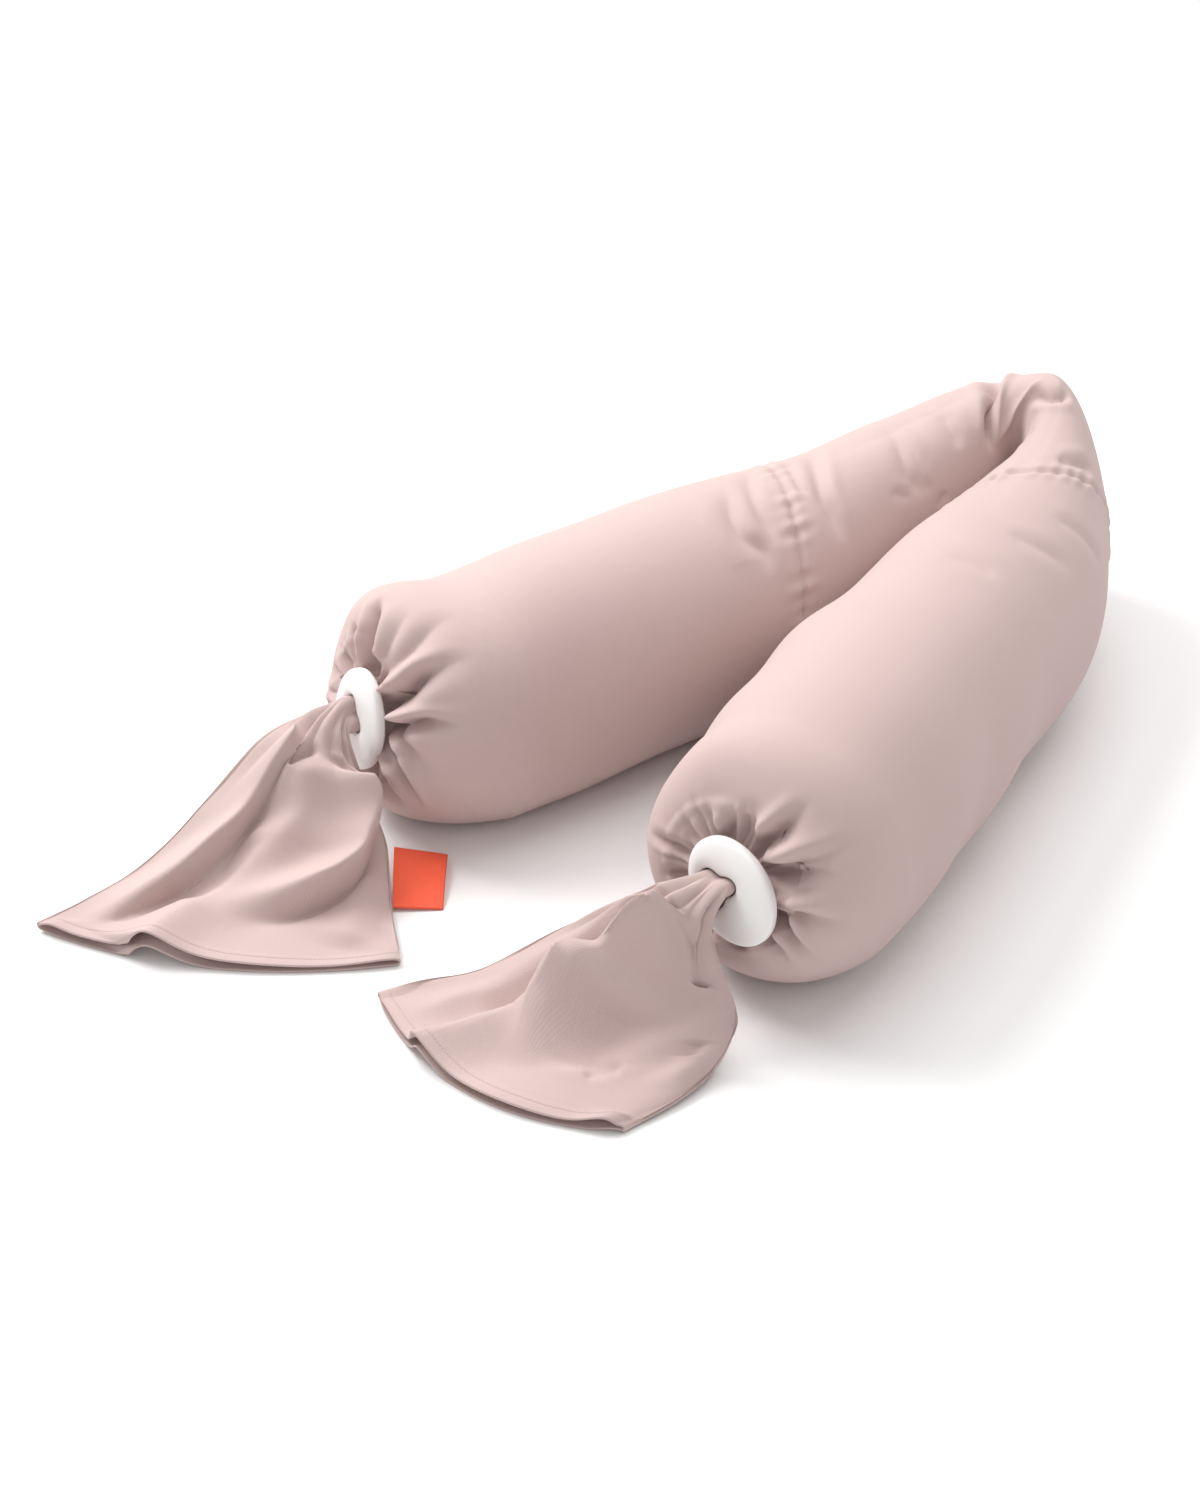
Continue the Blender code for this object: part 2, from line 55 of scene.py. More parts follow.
# Sizes shared by several pieces
CONTACT_DIP = 0.011
RING_THICKNESS = 0.0145
RING_GAP = 0.0007
NECK_GAP = 0.0012
JOIN_GAP = 0.0003
CLOTH = 0.0013
TAIL_LENGTH = 0.235
HEM_ROUND = 0.58
# Where the fine gathers of an end begin, past the first and the last section
GATHER_START = 0.138
# The height over which the floor's easing dies away
FLOOR_FADE = 0.02
FULL_TURN = 2 * math.pi
# The widest phase of an uneven wave, about a full turn
ANY_PHASE = 6.3
# Points closer than this are one point
SAME_PLACE = 1e-7

Knots = tuple[tuple[float, float], ...]
Colour = tuple[float, float, float]


class Station(NamedTuple):
    """A cross-section of the bolster: its place and heading on the floor, half-widths and height."""

    x: float
    y: float
    heading: float
    outer: float
    inner: float
    height: float
    inner_square: float


class CrossLine(NamedTuple):
    """One line across a tail: its share of the length, its left and right ends, bulge and loft."""

    share: float
    left_x: float
    left_y: float
    left_z: float
    right_x: float
    right_y: float
    right_z: float
    bulge: float
    loft: float


class FoldLine(NamedTuple):
    """A valley (or a ridge, below 0) along a line of knots on a surface.

    The knots are pairs of the surface's own two coordinates. Depth and half-width are in metres. Lean makes
    one side steeper, lip is the height of the roll beside it as a share of the depth, and the fades are the
    shares of the line over which it runs in and out.
    """

    knots: Knots
    depth: float
    half_width: float
    lean: float = 0.0
    lip: float = 0.3
    fade_in: float = 0.25
    fade_out: float = 0.35


class Seam(NamedTuple):
    """A seam round the bolster: its middle's distance along, how far it swings to and fro, and its turn."""

    along: float
    swing: float
    turn: float


class TailFold(NamedTuple):
    """A ridge (or a valley, below 0) on a tail: knots of share along and share across, its height and
    half-width in metres, how far it leans over as a share of its height, and how much the cloth below
    follows it.
    """

    knots: Knots
    height: float
    half_width: float
    lean: float = 0.0
    under: float = 0.0
    fade_in: float = 0.2
    fade_out: float = 0.2


def end_fold(knots: Knots, depth: float, half_width: float, lean: float = 0.0) -> FoldLine:
    """A valley that is deepest at the ring and runs out over the filled part.

    Args:
        knots: its line, from the ring outwards.
        depth: its depth in metres once its fades have eased it.
        half_width: its half-width in metres.
        lean: how much steeper one side is.

    Returns:
        The valley, cut a quarter deeper to make up for its fades.
    """
    return FoldLine(knots, 1.25 * depth, half_width, lean, lip=0.35, fade_in=0.02, fade_out=0.55)


class Side(Enum):
    """The two ends of the pillow, as seen from the front."""

    LEFT = "a"
    RIGHT = "b"


STATIONS = tuple(Station(*row) for row in (
    (-0.034, -0.118, 80, 0.096, 0.095, 0.196, 1.0),
    (-0.019, -0.05, 78, 0.095, 0.094, 0.199, 1.0),
    (-0.003, 0.035, 78, 0.095, 0.093, 0.2, 1.0),
    (0.014, 0.12, 78, 0.094, 0.091, 0.198, 1.0),
    (0.031, 0.205, 80, 0.09, 0.082, 0.193, 0.92),
    (0.043, 0.285, 83, 0.084, 0.068, 0.191, 0.78),
    (0.05, 0.35, 83, 0.077, 0.06, 0.193, 0.7),
    (0.061, 0.405, 72, 0.07, 0.05, 0.199, 0.7),
    (0.082, 0.44, 42, 0.057, 0.036, 0.21, 0.75),
    (0.114, 0.45, -2, 0.046, 0.036, 0.221, 0.75),
    (0.143, 0.425, -46, 0.046, 0.036, 0.211, 0.75),
    (0.164, 0.378, -70, 0.065, 0.048, 0.199, 0.72),
    (0.179, 0.312, -79, 0.088, 0.065, 0.196, 0.78),
    (0.199, 0.228, -79, 0.098, 0.082, 0.199, 0.92),
    (0.218, 0.14, -78, 0.1, 0.09, 0.202, 1.0),
    (0.238, 0.05, -78, 0.104, 0.095, 0.208, 1.0),
    (0.258, -0.03, -79, 0.104, 0.094, 0.209, 1.0),
    (0.274, -0.094, -82, 0.099, 0.094, 0.202, 1.0),
))
# How far along from the last section to the ring, and how much of the radius is left there
CAP_OUTLINE = (
    (0.0, 1.0),
    (0.2, 0.99),
    (0.4, 0.955),
    (0.58, 0.895),
    (0.74, 0.81),
    (0.88, 0.7),
    (0.98, 0.59),
    (1.02, 0.51),
    (0.994, 0.42),
    (0.985, 0.28),
    (0.985, 0.14),
    (1.0, 0.02),
)

# Valleys of the cover by distance along and angle round; below 0 and past the last section are the ends
LEFT_END_FOLDS = tuple(end_fold(*row) for row in (
    (((-0.133, 33), (-0.12, 35), (-0.105, 37)), 0.006, 0.005),
    (((-0.14, 93), (-0.117, 88), (-0.094, 85), (-0.074, 79), (-0.055, 75)), 0.014, 0.0055, 0.3),
    (((-0.135, 106), (-0.097, 107), (-0.071, 102), (-0.046, 96)), 0.004, 0.006),
    (((-0.13, 116), (-0.086, 120), (-0.062, 116), (-0.04, 111), (-0.015, 108)), 0.004, 0.007),
    (
        ((-0.138, 146), (-0.11, 142), (-0.094, 140), (-0.074, 135), (-0.056, 133), (-0.022, 131)),
        0.016, 0.006, 0.3,
    ),
    (((-0.143, 170), (-0.11, 164), (-0.086, 160), (-0.065, 160), (-0.038, 163)), 0.013, 0.0042, 0.25),
    (((-0.143, 174), (-0.106, 175), (-0.086, 184), (-0.062, 190)), 0.008, 0.007),
    (((-0.143, 186), (-0.114, 189), (-0.094, 198), (-0.077, 212), (-0.055, 226)), 0.012, 0.004, 0.4),
    (((-0.14, 228), (-0.107, 221), (-0.07, 229)), 0.01, 0.006),
    (((-0.14, 245), (-0.109, 241), (-0.088, 249)), 0.009, 0.006),
    (((-0.14, 62), (-0.112, 60), (-0.088, 57)), 0.009, 0.005),
    (((-0.14, 5), (-0.11, 6), (-0.08, 4)), 0.01, 0.006),
    (((-0.14, 285), (-0.11, 284), (-0.085, 288)), 0.009, 0.006),
    (((-0.14, 322), (-0.11, 325), (-0.075, 329)), 0.011, 0.006),
))
RIGHT_END_FOLDS = tuple(end_fold(*row) for row in (
    (((1.326, 169), (1.296, 172), (1.272, 175), (1.245, 177)), 0.007, 0.0032, 0.3),
    (((1.33, 147), (1.309, 150), (1.293, 157)), 0.007, 0.006),
    (((1.33, 135), (1.312, 133), (1.292, 138)), 0.007, 0.005),
    (((1.328, 119), (1.304, 123), (1.286, 127)), 0.007, 0.005),
    (((1.326, 110), (1.312, 107), (1.298, 100), (1.276, 94)), 0.012, 0.006, 0.2),
    (((1.322, 75), (1.304, 75), (1.29, 78), (1.265, 82)), 0.012, 0.0085),
    (((1.322, 60), (1.306, 60), (1.283, 58), (1.262, 58), (1.232, 58)), 0.015, 0.0055, 0.35),
    (((1.322, 42), (1.309, 40), (1.288, 35), (1.272, 34), (1.247, 33), (1.212, 34)), 0.015, 0.006, 0.35),
    (((1.324, 30), (1.309, 29), (1.29, 27), (1.259, 27), (1.222, 20)), 0.013, 0.005, 0.3),
    (((1.318, 5), (1.301, 7), (1.281, 17), (1.259, 20), (1.227, 20)), 0.006, 0.005),
    (((1.318, 356), (1.298, 357), (1.283, 1), (1.262, 2), (1.222, 359)), 0.009, 0.0045, 0.2),
    (((1.318, 349), (1.296, 349), (1.284, 349), (1.269, 342), (1.24, 331)), 0.014, 0.0045, 0.4),
    (((1.315, 332), (1.293, 330), (1.276, 327), (1.25, 317)), 0.01, 0.0055, 0.3),
    (((1.322, 295), (1.3, 292), (1.275, 288)), 0.009, 0.006),
    (((1.322, 258), (1.3, 256), (1.272, 258)), 0.01, 0.006),
    (((1.325, 222), (1.3, 224), (1.275, 221)), 0.009, 0.006),
    (((1.325, 192), (1.3, 195), (1.27, 199)), 0.008, 0.005),
))
MIDDLE_FOLDS = tuple(FoldLine(*row) for row in (
    (((0.265, 81), (0.243, 106), (0.239, 120), (0.25, 132), (0.243, 145)), 0.005, 0.0075, 0.3),
    (((0.308, 65), (0.272, 100), (0.265, 121), (0.265, 133)), 0.0034, 0.006, 0.2),
    (((0.34, 74), (0.319, 99), (0.316, 112)), 0.003, 0.005),
    (((0.381, 64), (0.336, 105), (0.329, 124), (0.329, 145)), 0.0062, 0.0065, 0.4),
    (((0.395, 127), (0.416, 137)), 0.002, 0.005),
    (((0.447, 79), (0.425, 113), (0.425, 129), (0.434, 143)), 0.0036, 0.007, 0.2),
    (((0.442, 93), (0.436, 129), (0.442, 140)), 0.0016, 0.0045),
    (((0.496, 88), (0.491, 108), (0.491, 127)), 0.0034, 0.008),
    (((0.458, 143), (0.445, 150)), 0.002, 0.0045),
    (((0.574, 52), (0.562, 82), (0.547, 107), (0.536, 125), (0.528, 140)), 0.016, 0.005, 0.5),
    (((0.611, 97), (0.598, 116), (0.562, 130), (0.535, 137)), -0.005, 0.006, 0.0, 0.0),
    (((0.634, 75), (0.638, 99), (0.604, 127)), 0.007, 0.0055, 0.3),
    (((0.677, 111), (0.664, 124)), 0.0026, 0.006),
    (((0.714, 81), (0.706, 68), (0.684, 48)), 0.0046, 0.006, 0.3),
    (((0.845, 78), (0.838, 64), (0.827, 52), (0.812, 35)), 0.0026, 0.008, 0.2),
    (((0.92, 92), (0.912, 75), (0.912, 64)), 0.0016, 0.009),
    (((0.79, 66), (0.772, 44), (0.766, 24)), 0.0022, 0.006),
    (((0.655, 30), (0.665, 8), (0.66, -14)), 0.004, 0.007),
    (((0.6, 20), (0.596, -8), (0.604, -34)), 0.005, 0.008),
    (((0.545, 12), (0.552, -18), (0.548, -40)), 0.005, 0.008),
    (((0.47, 30), (0.478, 6), (0.47, -22)), 0.0036, 0.008),
    (((0.3, 48), (0.292, 16), (0.3, -16)), 0.003, 0.007),
    (((0.345, 40), (0.352, 12), (0.346, -8)), 0.0026, 0.006),
    (((0.72, 150), (0.735, 176), (0.728, 200)), 0.0034, 0.007),
    (((0.78, 140), (0.772, 168), (0.784, 190)), 0.0028, 0.007),
))


SEAMS = (Seam(0.312, -0.04, 90), Seam(0.748, 0.062, 90))

LEFT_LINES = tuple(CrossLine(*row) for row in (
    (0.13, -0.094, -0.232, 0.112, -0.05, -0.222, 0.088, 0.012, 0.025),
    (0.3, -0.114, -0.268, 0.092, -0.026, -0.228, 0.055, 0.022, 0.024),
    (0.5, -0.125, -0.312, 0.05, -0.01, -0.232, 0.026, 0.024, 0.016),
    (0.72, -0.134, -0.372, 0.016, 0.026, -0.262, 0.008, 0.022, 0.011),
    (0.86, -0.141, -0.42, 0.008, 0.054, -0.284, 0.006, 0.022, 0.009),
    (1.0, -0.147, -0.462, 0.005, 0.082, -0.304, 0.004, 0.024, 0.009),
))
RIGHT_LINES = tuple(CrossLine(*row) for row in (
    (0.13, 0.246, -0.212, 0.114, 0.3, -0.204, 0.088, 0.008, 0.025),
    (0.3, 0.216, -0.222, 0.086, 0.316, -0.206, 0.06, 0.02, 0.025),
    (0.5, 0.18, -0.236, 0.046, 0.325, -0.208, 0.03, 0.026, 0.017),
    (0.72, 0.142, -0.276, 0.014, 0.33, -0.232, 0.012, 0.03, 0.011),
    (0.86, 0.118, -0.31, 0.008, 0.33, -0.272, 0.006, 0.033, 0.009),
    (1.0, 0.098, -0.341, 0.005, 0.321, -0.321, 0.004, 0.036, 0.009),
))


LEFT_TAIL_FOLDS = tuple(TailFold(*row) for row in (
    (
        ((0.16, 0.13), (0.3, 0.14), (0.43, 0.14), (0.6, 0.16), (0.78, 0.12), (0.98, 0.07)),
        0.03, 0.016, 0.8, 0.5,
    ),
    (
        ((0.22, 0.26), (0.36, 0.28), (0.49, 0.29), (0.6, 0.29), (0.72, 0.27), (0.85, 0.19), (0.96, 0.12)),
        -0.014, 0.007, 0.3, 0.0,
    ),
    (
        ((0.2, 0.58), (0.35, 0.6), (0.5, 0.56), (0.66, 0.44), (0.84, 0.36), (1.02, 0.33)),
        0.018, 0.026, 0.0, 0.8, 0.2, 0.02,
    ),
    (
        ((0.17, 0.84), (0.28, 0.88), (0.4, 0.84), (0.54, 0.78), (0.64, 0.74), (0.74, 0.6), (0.82, 0.4)),
        0.032, 0.013, 0.9, 0.4,
    ),
    (((0.34, 0.95), (0.5, 0.9), (0.66, 0.84), (0.76, 0.7), (0.86, 0.46)), -0.012, 0.009, 0.0, 0.0),
    (((0.18, 0.56), (0.25, 0.42), (0.32, 0.34)), -0.01, 0.005, 0.3, 0.0),
    (((0.19, 0.78), (0.25, 0.84), (0.28, 0.94)), -0.01, 0.006, 0.0, 0.0),
    (((0.6, 0.92), (0.78, 0.9), (0.94, 0.86)), 0.006, 0.022, 0.0, 0.5),
    (((0.95, 0.02), (1.02, 0.03)), 0.012, 0.012, 0.0, 0.0, 0.3, 0.01),
    (((0.55, 0.38), (0.7, 0.36), (0.82, 0.3)), -0.006, 0.012, 0.0, 0.0),
))
RIGHT_TAIL_FOLDS = tuple(TailFold(*row) for row in (
    (
        ((0.16, 0.1), (0.3, 0.12), (0.45, 0.12), (0.62, 0.1), (0.82, 0.12), (0.98, 0.14)),
        0.012, 0.018, 0.2, 0.5,
    ),
    (((0.2, 0.24), (0.26, 0.24), (0.33, 0.25)), -0.012, 0.006, 0.3, 0.0),
    (
        ((0.16, 0.78), (0.22, 0.62), (0.3, 0.52), (0.44, 0.48), (0.6, 0.47), (0.76, 0.47), (0.88, 0.54)),
        0.03, 0.013, -0.8, 0.4,
    ),
    (
        ((0.48, 0.44), (0.6, 0.45), (0.75, 0.37), (0.91, 0.35), (1.02, 0.33)),
        0.018, 0.014, -0.7, 0.7, 0.3, 0.02,
    ),
    (((0.4, 0.36), (0.56, 0.34), (0.7, 0.28), (0.84, 0.26)), -0.01, 0.018, 0.0, 0.0),
    (((0.15, 0.84), (0.22, 0.88), (0.32, 0.88), (0.43, 0.86)), -0.022, 0.008, 0.3, 0.0),
    (((0.3, 0.95), (0.5, 0.95), (0.72, 0.96), (0.86, 0.97)), 0.014, 0.014, 0.0, 0.5),
    (((0.66, 0.92), (0.74, 0.92)), -0.006, 0.008, 0.0, 0.0),
    (((0.78, 0.74), (0.84, 0.68)), -0.004, 0.008, 0.0, 0.0),
    (((0.95, 0.97), (1.02, 0.96)), 0.012, 0.012, 0.0, 0.0, 0.3, 0.01),
    (((0.58, 0.56), (0.72, 0.62), (0.84, 0.66)), -0.006, 0.02, 0.0, 0.0),
))


def spline(rows: np.ndarray, steps: int) -> np.ndarray:
    """Catmull-Rom points through the rows.

    Args:
        rows: the points to pass through, one in each row.
        steps: how many points are made between each two.

    Returns:
        The points, the given rows among them.
    """
    rows = np.asarray(rows, float)
    padded = np.vstack([2 * rows[0] - rows[1], rows, 2 * rows[-1] - rows[-2]])
    before, start, end, after = (padded[k : len(padded) - 3 + k, None] for k in range(4))
    t = (np.arange(steps) / steps)[None, :, None]
    linear = (end - before) * t
    square = (2 * before - 5 * start + 4 * end - after) * t**2
    cubic = (3 * start - before - 3 * end + after) * t**3
    points = (0.5 * (2 * start + linear + square + cubic)).reshape(-1, rows.shape[1])
    return np.vstack([points, rows[-1:]])


def run_lengths(line: np.ndarray) -> np.ndarray:
    """The way along a line from its first point to each of its points."""
    steps = np.linalg.norm(np.diff(line, axis=0), axis=1)
    return np.concatenate([[0.0], np.cumsum(steps)])


def smooth_table(rows: tuple, wanted: np.ndarray) -> np.ndarray:
    """The rows' columns at each wanted value of their first column, eased through the rows."""
    fine = spline(np.array(rows, float), 12)
    return np.stack([np.interp(wanted, fine[:, 0], fine[:, k]) for k in range(fine.shape[1])], axis=1)


def unit(heading: float, tilt: float = 0.0) -> np.ndarray:
    """The unit vector of this heading on the floor and this tilt up, both in degrees."""
    h, t = math.radians(heading), math.radians(tilt)
    return np.array([math.cos(h) * math.cos(t), math.sin(h) * math.cos(t), math.sin(t)])


def smoothstep(low: float, high: float, value: np.ndarray) -> np.ndarray:
    """0 up to low, 1 from high on, and eased between."""
    t = np.clip((value - low) / (high - low), 0.0, 1.0)
    return t * t * (3 - 2 * t)


def line_distance(
    first: np.ndarray, second: np.ndarray, knots: Knots, scale: np.ndarray, turn: float = 0.0
) -> tuple[np.ndarray, np.ndarray]:
    """How far each point of a surface is from a line on it.

    Args:
        first: the points' first coordinate, in metres or scaled to them by the caller.
        second: the points' second coordinate.
        knots: the line's own pairs of the two coordinates.
        scale: metres for each unit of the second coordinate, at each point.
        turn: the second coordinate's full turn, or 0 where it doesn't come round.

    Returns:
        The signed distance in metres, and the share of the line where the nearest place is.
    """
    line = np.array(knots, float)
    if turn:
        line[:, 1] = np.unwrap(line[:, 1], period=turn)
    line = spline(line, 14)
    best = np.full(first.shape, np.inf)
    side = np.zeros(first.shape)
    share = np.zeros(first.shape)
    tangents = np.gradient(line, axis=0)
    for k, (a, b) in enumerate(line):
        da, db = first - a, second - b
        if turn:
            db = (db + turn / 2) % turn - turn / 2
        db = db * scale
        tangent_a, tangent_b = tangents[k, 0], tangents[k, 1] * scale
        length = np.hypot(tangent_a, tangent_b)
        step = np.clip((da * tangent_a + db * tangent_b) / length**2, -0.5, 0.5)
        gap = np.hypot(da - step * tangent_a, db - step * tangent_b)
        nearer = gap < best
        best = np.where(nearer, gap, best)
        side = np.where(nearer, np.sign(tangent_a * db - tangent_b * da), side)
        share = np.where(nearer, (k + step) / (len(line) - 1), share)
    return best * side, np.clip(share, 0.0, 1.0)


def fold_shape(away: np.ndarray, half_width: float, lean: float, lip: float) -> np.ndarray:
    """The cross-section of a valley, 1 at its bottom and below 0 on the rolls at its sides.

    Args:
        away: the signed distance from the valley's line, in metres.
        half_width: its half-width in metres.
        lean: how much steeper one side is than the other, from 0 to 1.
        lip: the height of the rolls as a share of the depth.

    Returns:
        The share of the depth at each point.
    """
    widths = np.where(away < 0, half_width * (1 - 0.6 * lean), half_width * (1 + 0.6 * lean))
    bottom = np.exp(-(np.abs(away / widths) ** 1.35))
    roll = np.exp(-(((np.abs(away) - 2.3 * widths) / (1.3 * widths)) ** 2))
    return bottom - lip * roll * np.where(away < 0, 1.0, 0.55)


def fades(share: np.ndarray, fade_in: float, fade_out: float) -> np.ndarray:
    """How strong a fold is at each share of its line, as it runs in at one end and out at the other."""
    return smoothstep(0.0, max(fade_in, 1e-3), share) * smoothstep(0.0, max(fade_out, 1e-3), 1 - share)


def grid_normals(points: np.ndarray) -> np.ndarray:
    """Unit normals of a grid of points whose columns come round.

    Args:
        points: rows by columns by 3.

    Returns:
        The normals, facing away from the middle of each row.
    """
    along = np.gradient(points, axis=0)
    around = np.roll(points, -1, axis=1) - np.roll(points, 1, axis=1)
    normals = np.cross(around, along)
    normals /= np.maximum(np.linalg.norm(normals, axis=2, keepdims=True), 1e-9)
    middle = points.mean(axis=1, keepdims=True)
    if np.sum(normals * (points - middle), axis=2).mean() < 0:
        normals = -normals
    return normals


def soft_floor(points: np.ndarray, ease: float = 0.003, lowest: float = 0.0004) -> np.ndarray:
    """The points with their heights eased to stay above the floor.

    Args:
        points: a grid of points.
        ease: how gently they come down to the floor, in metres.
        lowest: the least height that is left, in metres.

    Returns:
        The eased points.
    """
    lifted = points.copy()
    z = points[..., 2] - lowest
    lifted[..., 2] = lowest + 0.5 * (z + np.sqrt(z * z + ease * ease))
    lifted[..., 2] -= 0.25 * ease * np.exp(-np.abs(z) / FLOOR_FADE)
    lifted[..., 2] = np.maximum(lifted[..., 2], lowest)
    return lifted


def finished_mesh(name: str, shape: bmesh.types.BMesh) -> bpy.types.Mesh:
    """Writes a shape into a new smooth mesh whose normals face out, and frees it."""
    bmesh.ops.recalc_face_normals(shape, faces=shape.faces)
    mesh = bpy.data.meshes.new(name)
    shape.to_mesh(mesh)
    shape.free()
    mesh.shade_smooth()
    return mesh


def tube_mesh(
    name: str, points: np.ndarray, texture: np.ndarray, poles: bool = False, looped: bool = False
) -> bpy.types.Mesh:
    """A tube of faces through a grid of points.

    Args:
        name: the mesh's name.
        points: rows by columns by 3, in metres, whose last column joins the first.
        texture: rows by columns + 1 by 2, the UV place of each point in metres.
        poles: whether both ends are closed.
        looped: whether the last row lies on the first and joins it.

    Returns:
        The mesh, with normals facing out and one UV map.
    """
    rows, columns = points.shape[:2]
    shape = bmesh.new()
    bmesh.ops.create_grid(shape, x_segments=rows - 1, y_segments=columns, size=0.5)
    flat = np.array([v.co[:2] for v in shape.verts]) + 0.5
    row = np.rint(flat[:, 0] * (rows - 1)).astype(int)
    column = np.rint(flat[:, 1] * columns).astype(int)
    placed = points[row, column % columns] - CENTRE
    for vert, place in zip(shape.verts, placed):
        vert.co = place
    shape.verts.index_update()
    uv = shape.loops.layers.uv.new("cloth")
    for face in shape.faces:
        for loop in face.loops:
            index = loop.vert.index
            loop[uv].uv = texture[row[index], column[index]]
    seam = [v for v, c in zip(shape.verts, column) if looped or c in (0, columns)]
    bmesh.ops.remove_doubles(shape, verts=seam, dist=SAME_PLACE)
    if poles:
        ends = [e for e in shape.edges if e.is_boundary]
        bmesh.ops.holes_fill(shape, edges=ends, sides=0)
        bmesh.ops.poke(shape, faces=[f for f in shape.faces if len(f.verts) > 4])
    return finished_mesh(name, shape)


def add_piece(mesh: bpy.types.Mesh, material: bpy.types.Material) -> bpy.types.Object:
    """Links a mesh as a piece of its name, which rides on the one body and takes its finish from a slot."""
    made = bpy.data.objects.new(mesh.name, mesh)
    mesh.materials.append(material)
    bpy.context.scene.collection.objects.link(made)
    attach(made, "root")
    log.info("%s: %d faces", mesh.name, len(mesh.polygons))
    return made


def add_thickness(piece: bpy.types.Object, thickness: float) -> None:
    """Gives a sheet its inner side, this far in from its outer one."""
    wall = piece.modifiers.new("thickness", "SOLIDIFY")
    wall.thickness = thickness
    wall.offset = -1.0
    wall.use_even_offset = False


def set_inputs(node: bpy.types.Node, values: dict[str, object]) -> None:
    """Sets a node's inputs by their names."""
    for name, value in values.items():
        node.inputs[name].default_value = value


class Nodes:
    """A material or group node tree with short calls to add and join nodes."""

    def __init__(self, tree: bpy.types.NodeTree) -> None:
        """Keeps the tree that the nodes go into."""
        self.tree = tree

    def add(self, kind: str, **settings: object) -> bpy.types.Node:
        """Adds a node of this kind and sets its properties."""
        node = self.tree.nodes.new(kind)
        for key, value in settings.items():
            setattr(node, key, value)
        return node

    def join(self, source: bpy.types.NodeSocket, target: bpy.types.NodeSocket) -> None:
        """Links an output to an input."""
        self.tree.links.new(source, target)

    def math(self, operation: str, first: object, second: object = None) -> bpy.types.NodeSocket:
        """A Math node's result; each operand is a socket or a number."""
        node = self.add("ShaderNodeMath", operation=operation)
        for socket, operand in zip(node.inputs, (first, second)):
            if isinstance(operand, bpy.types.NodeSocket):
                self.join(operand, socket)
            elif operand is not None:
                socket.default_value = operand
        return node.outputs[0]

    def noise(self, vector: bpy.types.NodeSocket, scale: float, detail: float) -> bpy.types.NodeSocket:
        """A noise texture's value at this vector."""
        node = self.add("ShaderNodeTexNoise")
        node.inputs["Scale"].default_value = scale
        node.inputs["Detail"].default_value = detail
        self.join(vector, node.inputs["Vector"])
        return node.outputs["Fac"]

    def bump(self, height: bpy.types.NodeSocket, surface: bpy.types.Node, values: dict[str, object]) -> None:
        """Joins a height to a surface's normal through a Bump node with these inputs."""
        node = self.add("ShaderNodeBump")
        set_inputs(node, values)
        self.join(height, node.inputs["Height"])
        self.join(node.outputs["Normal"], surface.inputs["Normal"])

    def roughness(
        self, mask: bpy.types.NodeSocket, surface: bpy.types.Node, middle: float, spread: float
    ) -> None:
        """Spreads a surface's roughness about its middle value by a mask."""
        rough = self.math("ADD", self.math("MULTIPLY", mask, spread), middle - spread / 2)
        self.join(rough, surface.inputs["Roughness"])


def new_group(
    name: str, inputs: dict[str, str], outputs: dict[str, str]
) -> tuple[Nodes, bpy.types.Node, bpy.types.Node]:
    """An empty node group with its sockets.

    Args:
        name: the group's name.
        inputs: the kind of each input, by its name.
        outputs: the kind of each output, by its name.

    Returns:
        The group's nodes, its input node and its output node.
    """
    group = bpy.data.node_groups.new(name, "ShaderNodeTree")
    for way, sockets in (("INPUT", inputs), ("OUTPUT", outputs)):
        for socket, kind in sockets.items():
            group.interface.new_socket(socket, in_out=way, socket_type=f"NodeSocket{kind}")
    nodes = Nodes(group)
    return nodes, nodes.add("NodeGroupInput"), nodes.add("NodeGroupOutput")


def knit_group() -> bpy.types.NodeTree:
    """The loops of a knitted or woven cloth: columns one way and courses the other, a little uneven.

    Returns:
        A group with the inputs Vector, Columns and Courses, each per metre, and Fuzz, and the outputs Height
        and Shade; Shade is painted shade, which makes the lower parts of the knit deeper in colour.
    """
    given_kinds = {"Vector": "Vector", "Columns": "Float", "Courses": "Float", "Fuzz": "Float"}
    nodes, given, result = new_group("cloth_grain", given_kinds, {"Height": "Float", "Shade": "Float"})
    wobble_scale, wobble_size, loop_lean = 260.0, 2.4, 1.6
    rib_height, loop_height, fuzz_scale, shade_share = 0.6, 0.25, 1400.0, 0.7
    split = nodes.add("ShaderNodeSeparateXYZ")
    nodes.join(given.outputs["Vector"], split.inputs[0])
    wobble = nodes.math("MULTIPLY", nodes.noise(given.outputs["Vector"], wobble_scale, 2.0), wobble_size)
    across = nodes.math("MULTIPLY", split.outputs["Y"], given.outputs["Columns"])
    along = nodes.math("MULTIPLY", split.outputs["X"], given.outputs["Courses"])
    across, along = (nodes.math("MULTIPLY", way, FULL_TURN) for way in (across, along))
    ribs = nodes.math("ABSOLUTE", nodes.math("SINE", nodes.math("ADD", across, wobble)))
    leaning = nodes.math("ADD", along, nodes.math("MULTIPLY", ribs, loop_lean))
    loops = nodes.math("SINE", nodes.math("ADD", leaning, wobble))
    raised = nodes.math("MULTIPLY", ribs, rib_height)
    woven = nodes.math("ADD", raised, nodes.math("MULTIPLY", loops, loop_height))
    hairs = nodes.noise(given.outputs["Vector"], fuzz_scale, 3.0)
    height = nodes.math("ADD", woven, nodes.math("MULTIPLY", hairs, given.outputs["Fuzz"]))
    nodes.join(height, result.inputs["Height"])
    # Painted shade: the knit's height also sets its colour, deeper in the hollows
    nodes.join(nodes.math("MULTIPLY", height, shade_share), result.inputs["Shade"])
    return nodes.tree


